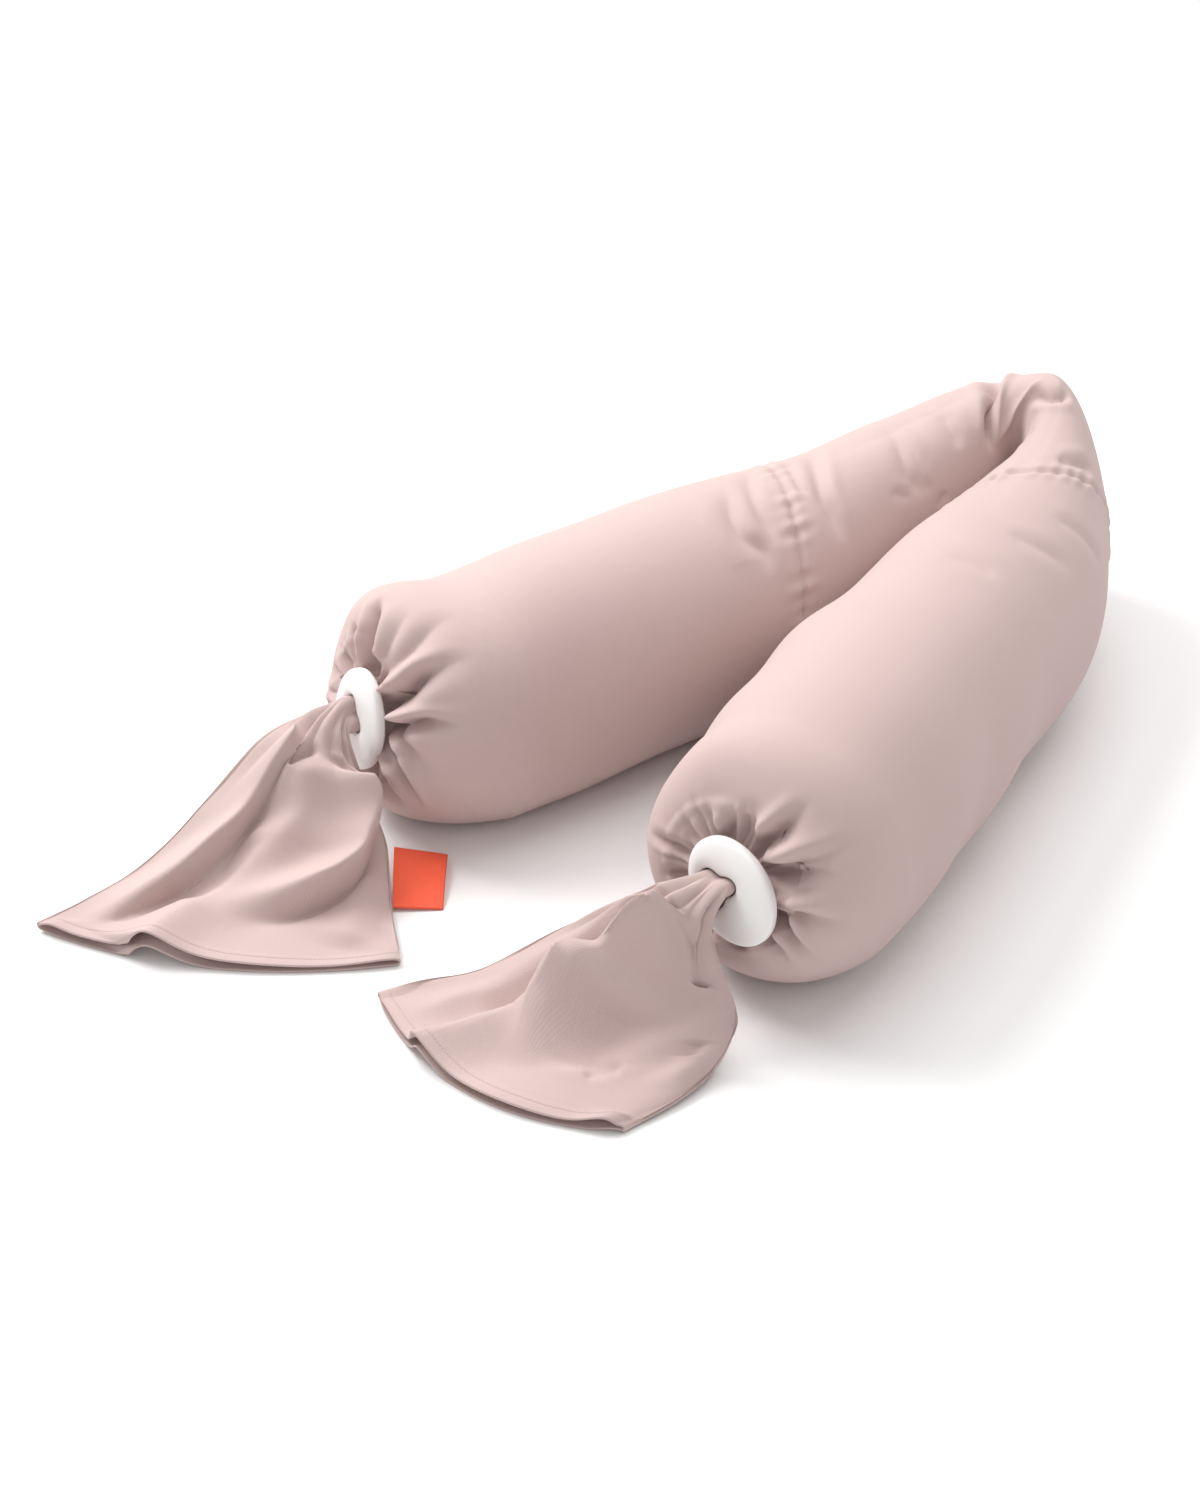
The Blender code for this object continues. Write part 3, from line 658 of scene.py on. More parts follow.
def tone_group() -> bpy.types.NodeTree:
    """An uneven tone: the colour drifts between a lighter and a deeper one over a hand's width, and painted
    shade makes it deeper in the knit's hollows.

    Returns:
        A group with the inputs Vector, Light, Deep and the knit's painted shade, and the outputs Color and
        Mask.
    """
    given_kinds = {"Vector": "Vector", "Light": "Color", "Deep": "Color", "Painted_Shade": "Float"}
    nodes, given, result = new_group("uneven_tone_and_knit_shade", given_kinds, {"Color": "Color", "Mask": "Float"})
    broad_scale, fine_scale, broad_share, painted_shade_share = 9.0, 120.0, 0.7, -0.25
    broad = nodes.noise(given.outputs["Vector"], broad_scale, 3.0)
    fine = nodes.noise(given.outputs["Vector"], fine_scale, 4.0)
    broad = nodes.math("MULTIPLY", broad, broad_share)
    mask = nodes.math("ADD", broad, nodes.math("MULTIPLY", fine, 1.0 - broad_share))
    # Painted shade: the knit's hollows make the tone deeper
    mask = nodes.math("ADD", mask, nodes.math("MULTIPLY", given.outputs["Painted_Shade"], painted_shade_share))
    mix = nodes.add("ShaderNodeMix", data_type="RGBA")
    nodes.join(mask, mix.inputs["Factor"])
    nodes.join(given.outputs["Light"], mix.inputs["A"])
    nodes.join(given.outputs["Deep"], mix.inputs["B"])
    nodes.join(mix.outputs["Result"], result.inputs["Color"])
    nodes.join(mask, result.inputs["Mask"])
    return nodes.tree


def toned_material(
    name: str, light: Colour, deep: Colour, tone: bpy.types.NodeTree
) -> tuple[bpy.types.Material, Nodes, bpy.types.Node, bpy.types.Node, bpy.types.Node]:
    """A new material whose base colour is the uneven tone.

    Args:
        name: the material's name.
        light: its lighter colour.
        deep: its deeper colour.
        tone: the node group of the uneven tone.

    Returns:
        The material, its nodes, its surface, its texture coordinates and the tone's node.
    """
    material = bpy.data.materials.new(name)
    material.use_nodes = True
    nodes = Nodes(material.node_tree)
    surface = material.node_tree.nodes["Principled BSDF"]
    place = nodes.add("ShaderNodeTexCoord")
    shade = nodes.add("ShaderNodeGroup", node_tree=tone)
    nodes.join(place.outputs["Object"], shade.inputs["Vector"])
    set_inputs(shade, {"Light": (*light, 1.0), "Deep": (*deep, 1.0)})
    nodes.join(shade.outputs["Color"], surface.inputs["Base Color"])
    return material, nodes, surface, place, shade


@dataclass(frozen=True)
class ClothFinish:
    """A knitted or woven cloth: its two tones, the fineness of its loops and how it catches the light."""

    name: str
    light: Colour
    deep: Colour
    columns: float
    courses: float
    fuzz: float
    relief: float
    roughness: float
    sheen: float
    sheen_tint: Colour = (1.0, 0.9, 0.88)
    sheen_roughness: float = 0.45
    specular: float = 0.25
    bump_strength: float = 0.6
    roughness_spread: float = 0.1

    def make(self, grain: bpy.types.NodeTree, tone: bpy.types.NodeTree) -> bpy.types.Material:
        """Builds the material.

        Args:
            grain: the node group of the cloth's loops.
            tone: the node group of the uneven tone.

        Returns:
            The material, which reads the piece's UV map and its Object coordinates.
        """
        material, nodes, surface, place, shade = toned_material(self.name, self.light, self.deep, tone)
        loops = nodes.add("ShaderNodeGroup", node_tree=grain)
        nodes.join(place.outputs["UV"], loops.inputs["Vector"])
        set_inputs(loops, {"Columns": self.columns, "Courses": self.courses, "Fuzz": self.fuzz})
        # The knit's painted shade goes into the tone and deepens its hollows
        nodes.join(loops.outputs["Shade"], shade.inputs["Painted_Shade"])
        bump = {"Distance": self.relief, "Strength": self.bump_strength}
        nodes.bump(loops.outputs["Height"], surface, bump)
        nodes.roughness(shade.outputs["Mask"], surface, self.roughness, self.roughness_spread)
        looks = {
            "Specular IOR Level": self.specular,
            "Sheen Weight": self.sheen,
            "Sheen Roughness": self.sheen_roughness,
            "Sheen Tint": (*self.sheen_tint, 1.0),
        }
        set_inputs(surface, looks)
        return material


@dataclass(frozen=True)
class PebbleFinish:
    """The rings' smooth moulded plastic, off-white with a satin surface."""

    name: str = "pebble_white"
    light: Colour = (0.90, 0.885, 0.875)
    deep: Colour = (0.86, 0.845, 0.83)
    roughness: float = 0.38
    roughness_spread: float = 0.12
    grain_scale: float = 900.0
    relief: float = 0.00004
    subsurface: float = 0.15
    subsurface_radius: Colour = (0.004, 0.003, 0.0025)

    def make(self, tone: bpy.types.NodeTree) -> bpy.types.Material:
        """Builds the material from the uneven tone and a faint moulded grain."""
        material, nodes, surface, place, _ = toned_material(self.name, self.light, self.deep, tone)
        grain = nodes.noise(place.outputs["Object"], self.grain_scale, 3.0)
        nodes.bump(grain, surface, {"Distance": self.relief})
        nodes.roughness(grain, surface, self.roughness, self.roughness_spread)
        looks = {"Subsurface Weight": self.subsurface, "Subsurface Radius": self.subsurface_radius}
        set_inputs(surface, looks)
        return material


@dataclass
class PebbleRing:
    """A flat pebble with an egg outline and a three-lobed hole off its middle."""

    side: Side
    x: float
    y: float
    z: float
    heading: float
    tilt: float
    turn: float
    lift: float
    length: float = 0.083
    width: float = 0.066
    egg: float = 0.10
    hole_radius: float = 0.0130
    hole_lobe: float = 0.0035
    hole_turn: float = 100.0
    hole_level: float = -0.007
    hole_up: float = -0.004
    share_power: float = 0.8
    crown_power: float = 0.52
    thinning: float = 0.16
    thin_from: float = 0.35
    around: int = 168
    profile: int = 56

    def axes(self) -> tuple[np.ndarray, np.ndarray, np.ndarray]:
        """The way the outer face looks, and the level and the upward direction in the ring's plane."""
        out = unit(self.heading, self.tilt)
        level = np.cross(UP, out)
        level /= np.linalg.norm(level)
        return out, level, np.cross(out, level)

    def centre(self) -> np.ndarray:
        """The middle of the pebble's outline."""
        return np.array([self.x, self.y, self.z])

    def hole(self) -> np.ndarray:
        """The middle of the hole."""
        _, level, upward = self.axes()
        return self.centre() + self.hole_level * level + self.hole_up * upward

    def reach(self, angle: np.ndarray) -> np.ndarray:
        """How far the hole reaches from its middle at each angle of the ring's plane, in radians."""
        own = angle - math.radians(self.hole_turn + self.turn)
        return self.hole_radius + self.hole_lobe * np.cos(3 * own)

    def rim(self, angle: np.ndarray) -> np.ndarray:
        """How far the pebble's outline is from its centre at each angle, in radians."""
        own = angle - math.radians(self.turn)
        wide, tall = self.width / 2, self.length / 2
        return (1 - self.egg * np.sin(own)) * wide * tall / np.hypot(tall * np.cos(own), wide * np.sin(own))

    def surface(self) -> np.ndarray:
        """Rows of points round the pebble, from the hole over the outer face to the rim and back inside."""
        out, level, upward = self.axes()
        turns = np.linspace(0, FULL_TURN, self.around, endpoint=False)
        direction = np.cos(turns)[:, None] * level + np.sin(turns)[:, None] * upward
        inner = self.hole() + self.reach(turns)[:, None] * direction
        outer = self.centre() + self.rim(turns)[:, None] * direction
        steps = np.linspace(0, FULL_TURN, self.profile, endpoint=False)
        share = 0.5 - 0.5 * np.sign(np.cos(steps)) * np.abs(np.cos(steps)) ** self.share_power
        crown = np.sign(np.sin(steps)) * np.abs(np.sin(steps)) ** self.crown_power
        crown = crown * (1 - self.thinning * smoothstep(self.thin_from, 1.0, share))
        flat = inner[None] * (1 - share)[:, None, None] + outer[None] * share[:, None, None]
        return flat + (crown * RING_THICKNESS / 2)[:, None, None] * out

    def build(self, material: bpy.types.Material) -> bpy.types.Object:
        """Makes the pebble as one closed band and dresses it."""
        points = self.surface()
        loop = np.vstack([points, points[:1]])
        texture = np.zeros((len(loop), self.around + 1, 2))
        mesh = tube_mesh(f"pebble_ring_{self.side.value}", loop, texture, looped=True)
        ring = add_piece(mesh, material)
        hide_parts(f"ring_{self.side.value}")
        return ring


@dataclass
class Bolster:
    """The long filled bolster, from inside one ring round the fold to inside the other."""

    left: PebbleRing
    right: PebbleRing
    row_step: float = 0.0027
    columns: int = 260
    fine_gathers: int = 30
    seam_depth: float = 0.0030
    seam_half_width: float = 0.0026
    pucker_depth: float = 0.0005
    pucker_half_width: float = 0.013
    pucker_waves: tuple[int, ...] = (23, 31, 38, 47)
    roll_height: float = 0.0009
    roll_away: float = 0.007
    roll_half_width: float = 0.005
    drift_waves: int = 14
    drift_depth: float = 0.00032
    fold_margin: float = 0.03
    hidden_run: float = 0.03
    overhang: float = 0.09
    turning: float = 1.5
    closing: float = 1.3
    texture_radius: float = 0.098
    seed: int = 11

    def cap_path(self, station: Station, ring: PebbleRing) -> tuple[np.ndarray, np.ndarray]:
        """The end's outline as arc distances from its last section, and the outline's eased rows."""
        axial = math.hypot(ring.x - station.x, ring.y - station.y)
        rows = spline(np.array(CAP_OUTLINE), 10)
        return run_lengths(rows * (axial, station.height / 2)), rows

    def cap(
        self, station: Station, ring: PebbleRing, distances: np.ndarray, angles: np.ndarray
    ) -> np.ndarray:
        """Points of a gathered end.

        Args:
            station: the last section before the end.
            ring: the ring that the cloth is drawn into.
            distances: arc distances from the last section towards the ring's hole.
            angles: degrees from the outer side over the top.

        Returns:
            Points, distances by angles by 3.
        """
        lengths, rows = self.cap_path(station, ring)
        axial, size = (np.interp(distances, lengths, rows[:, k]) for k in (0, 1))
        half_height = (station.height + CONTACT_DIP) / 2
        start = np.array([station.x, station.y, half_height - CONTACT_DIP])
        out, level, upward = ring.axes()
        back = ring.hole() - (RING_THICKNESS / 2 + RING_GAP) * out
        left = unit(station.heading + 90)
        level_left = level * math.copysign(1.0, float(np.dot(level, left)))
        capped = np.minimum(1.0, axial)
        turned = (capped**self.turning)[:, None]
        middle = start + (back - start) * (1 - (1 - capped) ** self.closing)[:, None]
        middle = middle + out * (np.maximum(0.0, axial - 1.0) * self.overhang)[:, None]
        left_here = left * (1 - turned) + level_left * turned
        up_here = UP * (1 - turned) + upward * turned
        cosine, sine = np.cos(np.radians(angles)), np.sin(np.radians(angles))
        half_width = np.where(cosine >= 0, station.outer, station.inner)
        direction = cosine[:, None] * level_left + sine[:, None] * upward
        reach = ring.reach(np.arctan2(direction @ upward, direction @ level)) - NECK_GAP
        drawn_up = 1 - ring.lift * turned * np.maximum(0.0, -sine)[None]
        full = (cosine * half_width)[None, :, None] * left_here[:, None]
        full = full + (sine * half_height * drawn_up)[..., None] * up_here[:, None]
        points = middle[:, None] + full * size[:, None, None]
        return points + direction[None] * (reach[None] * (1 - size)[:, None])[..., None]

    def body(self, distances: np.ndarray, angles: np.ndarray) -> np.ndarray:
        """Points of the part between the two ends, at these distances along and angles round."""
        fine, lengths = self.sections()
        columns = [np.interp(distances, lengths, fine[:, k])[:, None] for k in range(fine.shape[1])]
        x, y, heading, outer, inner, height, inner_square = columns
        turned = np.radians(heading + 90)
        left = np.stack([np.cos(turned), np.sin(turned), 0 * turned], axis=-1)
        half_height = (height + CONTACT_DIP) / 2
        across, up = np.cos(np.radians(angles))[None], np.sin(np.radians(angles))[None]
        side = np.sign(across) * np.abs(across) ** np.where(across >= 0, 1.0, inner_square)
        side = side * np.where(across >= 0, outer, inner)
        middle = np.stack([x, y, half_height - CONTACT_DIP], axis=-1)
        return middle + side[..., None] * left + (up * half_height)[..., None] * UP

    def sections(self) -> tuple[np.ndarray, np.ndarray]:
        """The eased sections, and the distance of each along the middle line."""
        fine = spline(np.array(STATIONS), 16)
        return fine, run_lengths(fine[:, :2])

    def length(self) -> float:
        """The length of the middle line between the first and the last section."""
        return float(self.sections()[1][-1])

    def gathers(self, end: float, inward: float, chance: np.random.RandomState) -> list[FoldLine]:
        """The fine pleats close round a ring.

        Args:
            end: the distance along at which the cloth goes under the ring.
            inward: +1 or -1, the way from the ring back to the filled part.
            chance: the source of the uneven spacing.

        Returns:
            One valley for each pleat.
        """
        lines = []
        for k in range(self.fine_gathers):
            angle = 360 * (k + 0.6 * chance.rand()) / self.fine_gathers
            reach = 0.018 + 0.035 * chance.rand() ** 1.5
            drift = 8 * (chance.rand() - 0.5)
            knots = (
                (end, angle),
                (end + inward * reach * 0.5, angle + drift * 0.3),
                (end + inward * reach, angle + drift),
            )
            depth = 0.003 + 0.003 * chance.rand()
            lines.append(FoldLine(knots, depth, 0.0026, lean=0.2, lip=0.35, fade_in=0.02, fade_out=0.6))
        return lines

    def relief(self, along: np.ndarray, angles: np.ndarray, radius: np.ndarray) -> np.ndarray:
        """How deep the cover is drawn in at each point.

        Args:
            along: distances, rows by 1.
            angles: degrees, 1 by columns.
            radius: the mean radius of each row, rows by 1.

        Returns:
            Depths in metres, rows by columns; below 0 the cloth stands out.
        """
        chance = np.random.RandomState(self.seed)
        total = self.length()
        rows, columns = along.shape[0], angles.shape[1]
        depth = np.zeros((rows, columns))
        lines = [*LEFT_END_FOLDS, *MIDDLE_FOLDS, *RIGHT_END_FOLDS]
        lines += self.gathers(-GATHER_START, 1.0, chance) + self.gathers(total + GATHER_START, -1.0, chance)
        scale = np.broadcast_to(radius * math.pi / 180, (rows, columns))
        for line in lines:
            ends = [knot[0] for knot in line.knots]
            low, high = min(ends) - self.fold_margin, max(ends) + self.fold_margin
            near = (along[:, 0] > low) & (along[:, 0] < high)
            here = np.broadcast_to(along[near], (near.sum(), columns))
            around = np.broadcast_to(angles, (near.sum(), columns))
            away, share = line_distance(here, around, line.knots, scale[near], turn=360.0)
            own = line.depth * fades(share, line.fade_in, line.fade_out)
            depth[near] += own * fold_shape(away, line.half_width, line.lean, line.lip)
        for seam in SEAMS:
            gap = along - seam.along - seam.swing * np.sin(np.radians(angles - seam.turn))
            ditch = np.exp(-(np.abs(gap / self.seam_half_width) ** 1.4))
            roll = np.exp(-(((np.abs(gap) - self.roll_away) / self.roll_half_width) ** 2))
            wave = sum(
                np.sin(np.radians(angles) * k + chance.rand() * ANY_PHASE) for k in self.pucker_waves
            )
            pucker = wave * np.exp(-((gap / self.pucker_half_width) ** 2))
            depth += self.seam_depth * ditch - self.roll_height * roll + self.pucker_depth * pucker
        for _ in range(self.drift_waves):
            run, turns, phase = 8 + 22 * chance.rand(), chance.randint(1, 5), ANY_PHASE * chance.rand()
            depth += self.drift_depth * np.sin(along * run * 2 + np.radians(angles) * turns + phase)
        return depth

    def surface(self) -> tuple[np.ndarray, np.ndarray]:
        """The whole cover: its points, and the distance of each row along."""
        total = self.length()
        angles = np.linspace(0, 360, self.columns, endpoint=False)
        left_end = self.cap_path(STATIONS[0], self.left)[0][-1]
        right_end = self.cap_path(STATIONS[-1], self.right)[0][-1]
        count = round((total + left_end + right_end) / self.row_step)
        along = np.linspace(-left_end, total + right_end, count)
        first, last = along < 0, along > total
        middle = ~(first | last)
        points = np.concatenate([
            self.cap(STATIONS[0], self.left, -along[first], angles),
            self.body(along[middle], angles),
            self.cap(STATIONS[-1], self.right, along[last] - total, angles),
        ])
        centres = points.mean(axis=1, keepdims=True)
        radius = np.linalg.norm(points - centres, axis=2).mean(axis=1)
        normals = grid_normals(points)
        depth = self.relief(along[:, None], angles[None], radius[:, None])
        to_ends = np.minimum(along + left_end, total + right_end - along)
        hidden = smoothstep(0.0, self.hidden_run, to_ends)
        points = points - normals * (depth * hidden[:, None])[..., None]
        return soft_floor(points), along

    def build(self, material: bpy.types.Material) -> bpy.types.Object:
        """Makes the cover as one closed padded piece and dresses it."""
        points, along = self.surface()
        turns = np.linspace(0, 1, self.columns + 1)
        texture = np.zeros((len(along), self.columns + 1, 2))
        texture[..., 0] = along[:, None]
        texture[..., 1] = turns[None] * FULL_TURN * self.texture_radius
        mesh = tube_mesh("bolster_cover", points, texture, poles=True)
        cover = add_piece(mesh, material)
        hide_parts("pillow_body")
        return cover


@dataclass
class Tail:
    """An open cloth tail: the cover's end, gathered at its ring and hemmed where it lies on the floor."""

    ring: PebbleRing
    lines: tuple[CrossLine, ...]
    folds: tuple[TailFold, ...]
    across_steps: int = 118
    rows: int = 168
    pleats: int = 13
    pleat_depth: float = 0.34
    hem: float = 0.010
    hem_step: float = 0.0004
    layer_gap: float = 0.0040
    seed: int = 5
    stitch_pitch: float = 0.0028
    stitch_length: float = 0.0019
    stitch_width: float = 0.00026
    stitch_inset: float = 0.0065
    stitch_draw: float = 0.0003
    stitch_draw_width: float = 0.0012
    mouth_share: float = 0.25
    mouth_out: float = 0.003
    mouth_grow: float = 1.05
    crease_waves: int = 16
    crease_height: float = 0.00035

    def neck(self, turns: np.ndarray, out_by: float, grow: float) -> np.ndarray:
        """A line of points round the gathered cloth, this far out of the ring's middle."""
        out, level, upward = self.ring.axes()
        direction = -np.cos(turns)[:, None] * level + np.sin(turns)[:, None] * upward
        reach = self.ring.reach(np.arctan2(direction @ upward, direction @ level)) - NECK_GAP
        return self.ring.hole() + (reach * grow)[:, None] * direction + out_by * out

    def cloth(self, shares: np.ndarray, turns: np.ndarray) -> np.ndarray:
        """Points of the open cloth.

        Args:
            shares: shares of the tail's length, from its first table line to its hem.
            turns: angles round the tube in radians, over the top first.

        Returns:
            Points, shares by turns by 3.
        """
        rows = smooth_table(self.lines, shares)
        left, right = rows[:, None, 1:4], rows[:, None, 4:7]
        bulge, loft = rows[:, 7][:, None], rows[:, 8][:, None]
        along = right - left
        width = np.linalg.norm(along, axis=2)
        outward = np.stack([along[..., 1], -along[..., 0], 0 * along[..., 0]], axis=-1)
        outward /= np.linalg.norm(outward, axis=2, keepdims=True)
        flat = np.minimum(1.0, shares / 0.7)[:, None]
        cosine, sine = np.cos(turns)[None], np.sin(turns)[None]
        across = 0.5 - 0.5 * cosine * (np.abs(cosine) + 1e-9) ** (-0.25 * flat)
        round_part = np.sign(sine) * np.abs(sine) ** (1.0 - 0.5 * flat)
        edge = np.minimum(1.0, 8.0 * across * (1.0 - across))
        height, shift = np.zeros(across.shape), np.zeros(across.shape)
        top = sine >= 0
        for fold in self.folds:
            away, share = line_distance(
                np.broadcast_to(shares[:, None] * TAIL_LENGTH, across.shape),
                across,
                tuple((a * TAIL_LENGTH, b) for a, b in fold.knots),
                np.broadcast_to(width, across.shape),
            )
            own = np.exp(-(np.abs(away / fold.half_width) ** 1.6)) * fades(share, fold.fade_in, fold.fade_out)
            height += fold.height * own * np.where(top, 1.0, fold.under)
            shift += fold.height * fold.lean * own * np.where(top, 1.0, fold.under)
        points = left + along * across[..., None]
        points = points + (4 * across * (1 - across) * bulge)[..., None] * outward
        points = points + (shift * edge)[..., None] * along / width[..., None]
        points[..., 2] += 0.5 * loft * round_part + height * edge
        return points

    def drawn(self, shares: np.ndarray, turns: np.ndarray, cloth: np.ndarray) -> np.ndarray:
        """Rows from inside the ring's hole to the first line of the open cloth.

        Args:
            shares: shares of the tail's length, all before the first table line.
            turns: angles round the tube in radians.
            cloth: the open cloth, which the last of these rows runs into.

        Returns:
            Points, shares by turns by 3.
        """
        first = self.lines[0].share
        inside = self.neck(turns, JOIN_GAP / 2, 1.0)
        mouth = self.neck(turns, RING_THICKNESS / 2 + self.mouth_out, self.mouth_grow)
        slope = cloth[1] - cloth[0]
        count = (first * (1 - self.mouth_share)) * (self.rows - 1)
        rows = []
        for t in shares / first:
            if t < self.mouth_share:
                rows.append(inside + (mouth - inside) * (t / self.mouth_share))
                continue
            s = (t - self.mouth_share) / (1 - self.mouth_share)
            leave, arrive = s**3 - 2 * s**2 + s, s**3 - s**2
            start, stop = 2 * s**3 - 3 * s**2 + 1, -2 * s**3 + 3 * s**2
            drawn = start * mouth + leave * ((mouth - inside) * 2.0)
            rows.append(drawn + stop * cloth[0] + arrive * slope * count)
        return np.array(rows)

    def pleated(
        self, points: np.ndarray, shares: np.ndarray, turns: np.ndarray, chance: np.random.RandomState
    ) -> np.ndarray:
        """The points drawn in between the pleats that leave the ring."""
        middle = points.mean(axis=1, keepdims=True)
        ridges = np.zeros(len(turns))
        for k in range(self.pleats):
            at = FULL_TURN * (k + 0.55 * chance.rand()) / self.pleats
            away = np.abs((turns - at + math.pi) % FULL_TURN - math.pi)
            ridges -= (0.6 + 0.5 * chance.rand()) * np.exp(-((away / 0.16) ** 1.4))
        strength = smoothstep(0.03, 0.10, shares) * (1 - smoothstep(0.10, 0.55, shares))
        drawn_in = self.pleat_depth * strength[:, None] * ridges[None]
        return middle + (points - middle) * (1 + drawn_in)[..., None]

    def surface(self) -> np.ndarray:
        """The outer side of the tail, rows from inside the ring to the hem."""
        chance = np.random.RandomState(self.seed + ord(self.ring.side.value))
        turns = np.linspace(0, FULL_TURN, 2 * self.across_steps, endpoint=False)
        shares = np.linspace(0.0, 1.0, self.rows)
        open_rows = shares >= self.lines[0].share
        cloth = self.cloth(shares[open_rows], turns)
        points = np.concatenate([self.drawn(shares[~open_rows], turns, cloth), cloth])
        points = self.pleated(points, shares, turns, chance)
        points[..., 2] += self.creases(shares, turns, chance)
        points = soft_floor(points, 0.0016)
        half = self.across_steps
        gap = self.layer_gap * smoothstep(0.05, 0.25, shares)
        over, under = points[:, 1:half, 2], points[:, :half:-1, 2]
        points[:, 1:half, 2] = np.maximum(over, under + gap[:, None])
        normals = grid_normals(points)
        hem_start = 1 - self.hem / TAIL_LENGTH
        edge = smoothstep(hem_start, hem_start + 0.006, shares)
        to_stitch = (1 - shares) * TAIL_LENGTH - self.stitch_inset
        stitch = np.exp(-((to_stitch / self.stitch_draw_width) ** 2))
        points = points + normals * (self.hem_step * edge - self.stitch_draw * stitch)[:, None, None]
        return soft_floor(points, 0.0006)

    def creases(self, shares: np.ndarray, turns: np.ndarray, chance: np.random.RandomState) -> np.ndarray:
        """Small uneven waves of the lying cloth, in metres."""
        heights = np.zeros((len(shares), len(turns)))
        for _ in range(self.crease_waves):
            along, around, phase = 6 + 20 * chance.rand(), chance.randint(2, 9), ANY_PHASE * chance.rand()
            heights += self.crease_height * np.sin(along * shares[:, None] + around * turns[None] + phase)
        return heights * smoothstep(0.1, 0.4, shares)[:, None]

    def build(self, material: bpy.types.Material, rests_on: list[str]) -> bpy.types.Object:
        """Makes the tail as a sheet with its inner side and dresses it.

        Args:
            material: the cloth's material.
            rests_on: what the tail lies on; not used.

        Returns:
            The tail's object.
        """
        side = self.ring.side.value
        outer = self.surface()
        texture = np.zeros((self.rows, 2 * self.across_steps + 1, 2))
        texture[..., 0] = (np.linspace(0, 1, self.rows) * TAIL_LENGTH)[:, None]
        texture[..., 1] = (np.linspace(0, 1, 2 * self.across_steps + 1) * HEM_ROUND)[None]
        mesh = tube_mesh(f"cloth_tail_{side}", outer, texture)
        tail = add_piece(mesh, material)
        add_thickness(tail, CLOTH)
        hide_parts(f"tail_{side}")
        stitches = self.stitches(outer, material)
        return tail

    def stitches(self, outer: np.ndarray, material: bpy.types.Material) -> bpy.types.Object:
        """The line of stitches that holds the hem, one small thread loop after another.

        Args:
            outer: the tail's outer side.
            material: the cloth's material.

        Returns:
            The stitches' object.
        """
        row = round((1 - self.stitch_inset / TAIL_LENGTH) * (self.rows - 1))
        line = outer[row] - CENTRE
        normals = grid_normals(outer)[row]
        closed = np.vstack([line, line[:1]])
        lengths = run_lengths(closed)
        shape = bmesh.new()
        for at in np.arange(0, lengths[-1] - self.stitch_pitch, self.stitch_pitch):
            place = np.array([np.interp(at, lengths, closed[:, k]) for k in range(3)])
            ahead = np.array([np.interp(at + self.stitch_length, lengths, closed[:, k]) for k in range(3)])
            normal = normals[int(np.searchsorted(lengths, at)) % len(normals)]
            forward = Vector(ahead - place).normalized()
            up = Vector(normal)
            across = forward.cross(up).normalized()
            up = across.cross(forward)
            turn = Matrix((forward, across, up)).transposed().to_4x4()
            size = Matrix.Diagonal((self.stitch_length / 2, self.stitch_width, self.stitch_width * 0.8, 1))
            where = Matrix.Translation(Vector((place + ahead) / 2 + normal * 0.0001))
            placed = where @ turn @ size
            bmesh.ops.create_uvsphere(shape, u_segments=6, v_segments=4, radius=1.0, matrix=placed)
        mesh = finished_mesh(f"hem_stitches_{self.ring.side.value}", shape)
        mesh.uv_layers.new(name="cloth")
        return add_piece(mesh, material)


@dataclass
class RibbonTab:
    """A satin ribbon folded in two, whose ends are caught in the side seam of the left tail."""

    corners: tuple[tuple[float, float, float], ...] = (
        (-0.0150, -0.2190, 0.0118),
        (0.0170, -0.1920, 0.0062),
        (0.0580, -0.2370, 0.0004),
        (0.0310, -0.2640, 0.0030),
    )
    wave: float = 0.004
    thickness: float = 0.00045
    gap: float = 0.0007
    open_out: float = 12.0
    texture_size: tuple[float, float] = (0.12, 0.042)
    steps: int = 60
    widths: int = 40

    def build(self, material: bpy.types.Material) -> bpy.types.Object:
        """Makes the folded ribbon and dresses it."""
        shape = bmesh.new()
        bmesh.ops.create_grid(shape, x_segments=2 * self.steps, y_segments=self.widths, size=0.5)
        uv = shape.loops.layers.uv.new("cloth")
        flat = {v: (v.co.x + 0.5, v.co.y + 0.5) for v in shape.verts}
        for face in shape.faces:
            for loop in face.loops:
                s, t = flat[loop.vert]
                loop[uv].uv = (s * self.texture_size[0], t * self.texture_size[1])
        for vert, (s, t) in flat.items():
            run = 1 - abs(2 * s - 1)
            parted = self.gap * min(1.0, (1 - run) * self.open_out) if s > 0.5 else 0.0
            lift = self.wave * math.sin(math.pi * t) + parted + self.thickness
            vert.co = Vector(self.place(t, run)) + Vector((0.0, 0.0, lift))
        tab = add_piece(finished_mesh("ribbon_tab", shape), material)
        add_thickness(tab, self.thickness)
        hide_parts("label")
        return tab

    def place(self, along: float, out: float) -> np.ndarray:
        """A point of the ribbon, this share along its seam and this share out towards its fold."""
        seam_first, out_first, out_last, seam_last = (np.array(c) - CENTRE for c in self.corners)
        seam = seam_first * (1 - along) + seam_last * along
        fold = out_first * (1 - along) + out_last * along
        return seam * (1 - out) + fold * out


class Lamp(NamedTuple):
    """A square soft light: its name, its place, its side in metres and its power in watts."""

    name: str
    place: tuple[float, float, float]
    size: float
    power: float


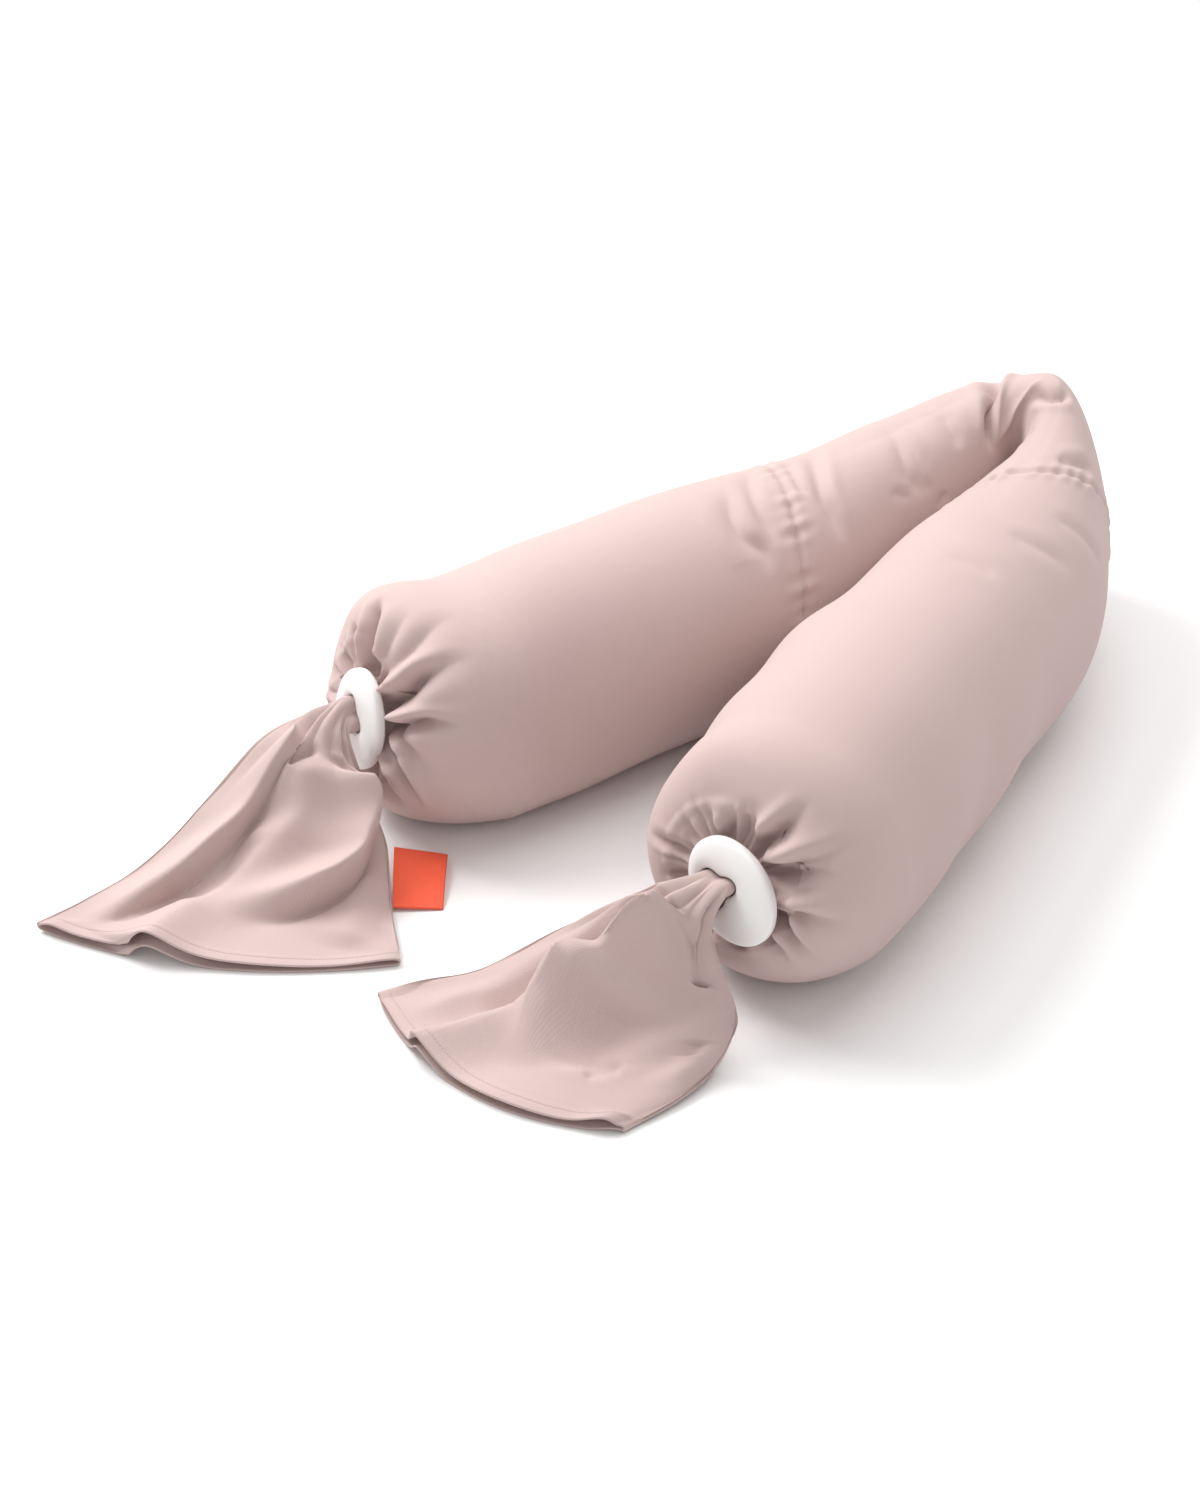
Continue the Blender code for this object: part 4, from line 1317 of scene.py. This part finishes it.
@dataclass
class Studio:
    """The white floor, the soft lights and the camera."""

    location: tuple[float, float, float] = (1.0048, -1.2157, 1.1472)
    lens: float = 57.6
    world: float = 0.62
    world_tone: tuple[float, ...] = (1.0, 0.99, 0.985, 1.0)
    floor_tone: tuple[float, ...] = (0.93, 0.93, 0.93, 1.0)
    floor_reach: float = 12.0
    lamps: tuple[Lamp, ...] = (
        Lamp("key", (-1.75, -0.30, 2.05), 1.4, 68.0),
        Lamp("top", (-0.1, 0.9, 2.6), 2.2, 34.0),
    )

    def put(self, name: str, data: bpy.types.ID, place: tuple, target: Vector) -> bpy.types.Object:
        """Links a lamp or a camera that looks from its place at a target."""
        made = bpy.data.objects.new(name, data)
        made.location = place
        made.rotation_euler = (target - Vector(place)).to_track_quat("-Z", "Y").to_euler()
        bpy.context.scene.collection.objects.link(made)
        return made

    def camera(self) -> None:
        """Puts the camera at the photograph's viewing angle."""
        data = bpy.data.cameras.new("camera")
        data.lens = self.lens
        data.clip_start, data.clip_end = 0.05, 60.0
        bpy.context.scene.camera = self.put("camera", data, self.location, Vector(-CENTRE))

    def light(self, lamp: Lamp) -> None:
        """A square soft light that looks at the pillow."""
        data = bpy.data.lights.new(lamp.name, "AREA")
        data.shape = "SQUARE"
        data.size = lamp.size
        data.energy = lamp.power
        self.put(lamp.name, data, lamp.place, Vector((0.0, 0.0, 0.0)))

    def floor(self) -> bpy.types.Object:
        """The plain pale floor."""
        shape = bmesh.new()
        bmesh.ops.create_grid(shape, x_segments=2, y_segments=2, size=self.floor_reach)
        mesh = bpy.data.meshes.new("floor")
        shape.to_mesh(mesh)
        shape.free()
        material = bpy.data.materials.new("floor_white")
        material.use_nodes = True
        surface = material.node_tree.nodes["Principled BSDF"]
        looks = {"Base Color": self.floor_tone, "Roughness": 0.9, "Specular IOR Level": 0.1}
        set_inputs(surface, looks)
        mesh.materials.append(material)
        floor = bpy.data.objects.new("floor", mesh)
        bpy.context.scene.collection.objects.link(floor)
        return floor

    def build(self) -> None:
        """Sets up the camera, the floor and the lights."""
        self.camera()
        self.floor()
        world = bpy.data.worlds.new("studio")
        world.use_nodes = True
        background = world.node_tree.nodes["Background"]
        set_inputs(background, {"Color": self.world_tone, "Strength": self.world})
        bpy.context.scene.world = world
        bpy.context.scene.view_settings.view_transform = "Standard"
        for lamp in self.lamps:
            self.light(lamp)


def main() -> None:
    """Builds every piece in order, and the studio round them."""
    logging.basicConfig(level=logging.INFO, format="%(name)s %(message)s")
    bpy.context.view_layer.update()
    grain, tone = knit_group(), tone_group()
    jersey = ClothFinish(
        "rose_jersey", (0.60, 0.462, 0.440), (0.565, 0.425, 0.402), 1150.0, 900.0, 0.5, 0.00022, 0.88, 0.22
    )
    ribbon = ClothFinish(
        "coral_ribbon", (0.98, 0.135, 0.065), (0.93, 0.115, 0.052), 2600.0, 1500.0, 0.2, 0.00008, 0.55, 0.08
    )
    cover_cloth = jersey.make(grain, tone)
    ribbon_cloth = ribbon.make(grain, tone)
    pebble = PebbleFinish().make(tone)
    left_ring = PebbleRing(Side.LEFT, -0.065, -0.201, 0.106, 255, 10, 0, 0.02)
    right_ring = PebbleRing(Side.RIGHT, 0.284, -0.172, 0.108, 272, 12, 50, 0.24)
    left_ring.build(pebble)
    right_ring.build(pebble)
    Bolster(left_ring, right_ring).build(cover_cloth)
    Tail(left_ring, LEFT_LINES, LEFT_TAIL_FOLDS).build(cover_cloth, ["floor"])
    Tail(right_ring, RIGHT_LINES, RIGHT_TAIL_FOLDS).build(cover_cloth, ["floor"])
    RibbonTab().build(ribbon_cloth)
    Studio().build()


if __name__ == "__main__":
    main()
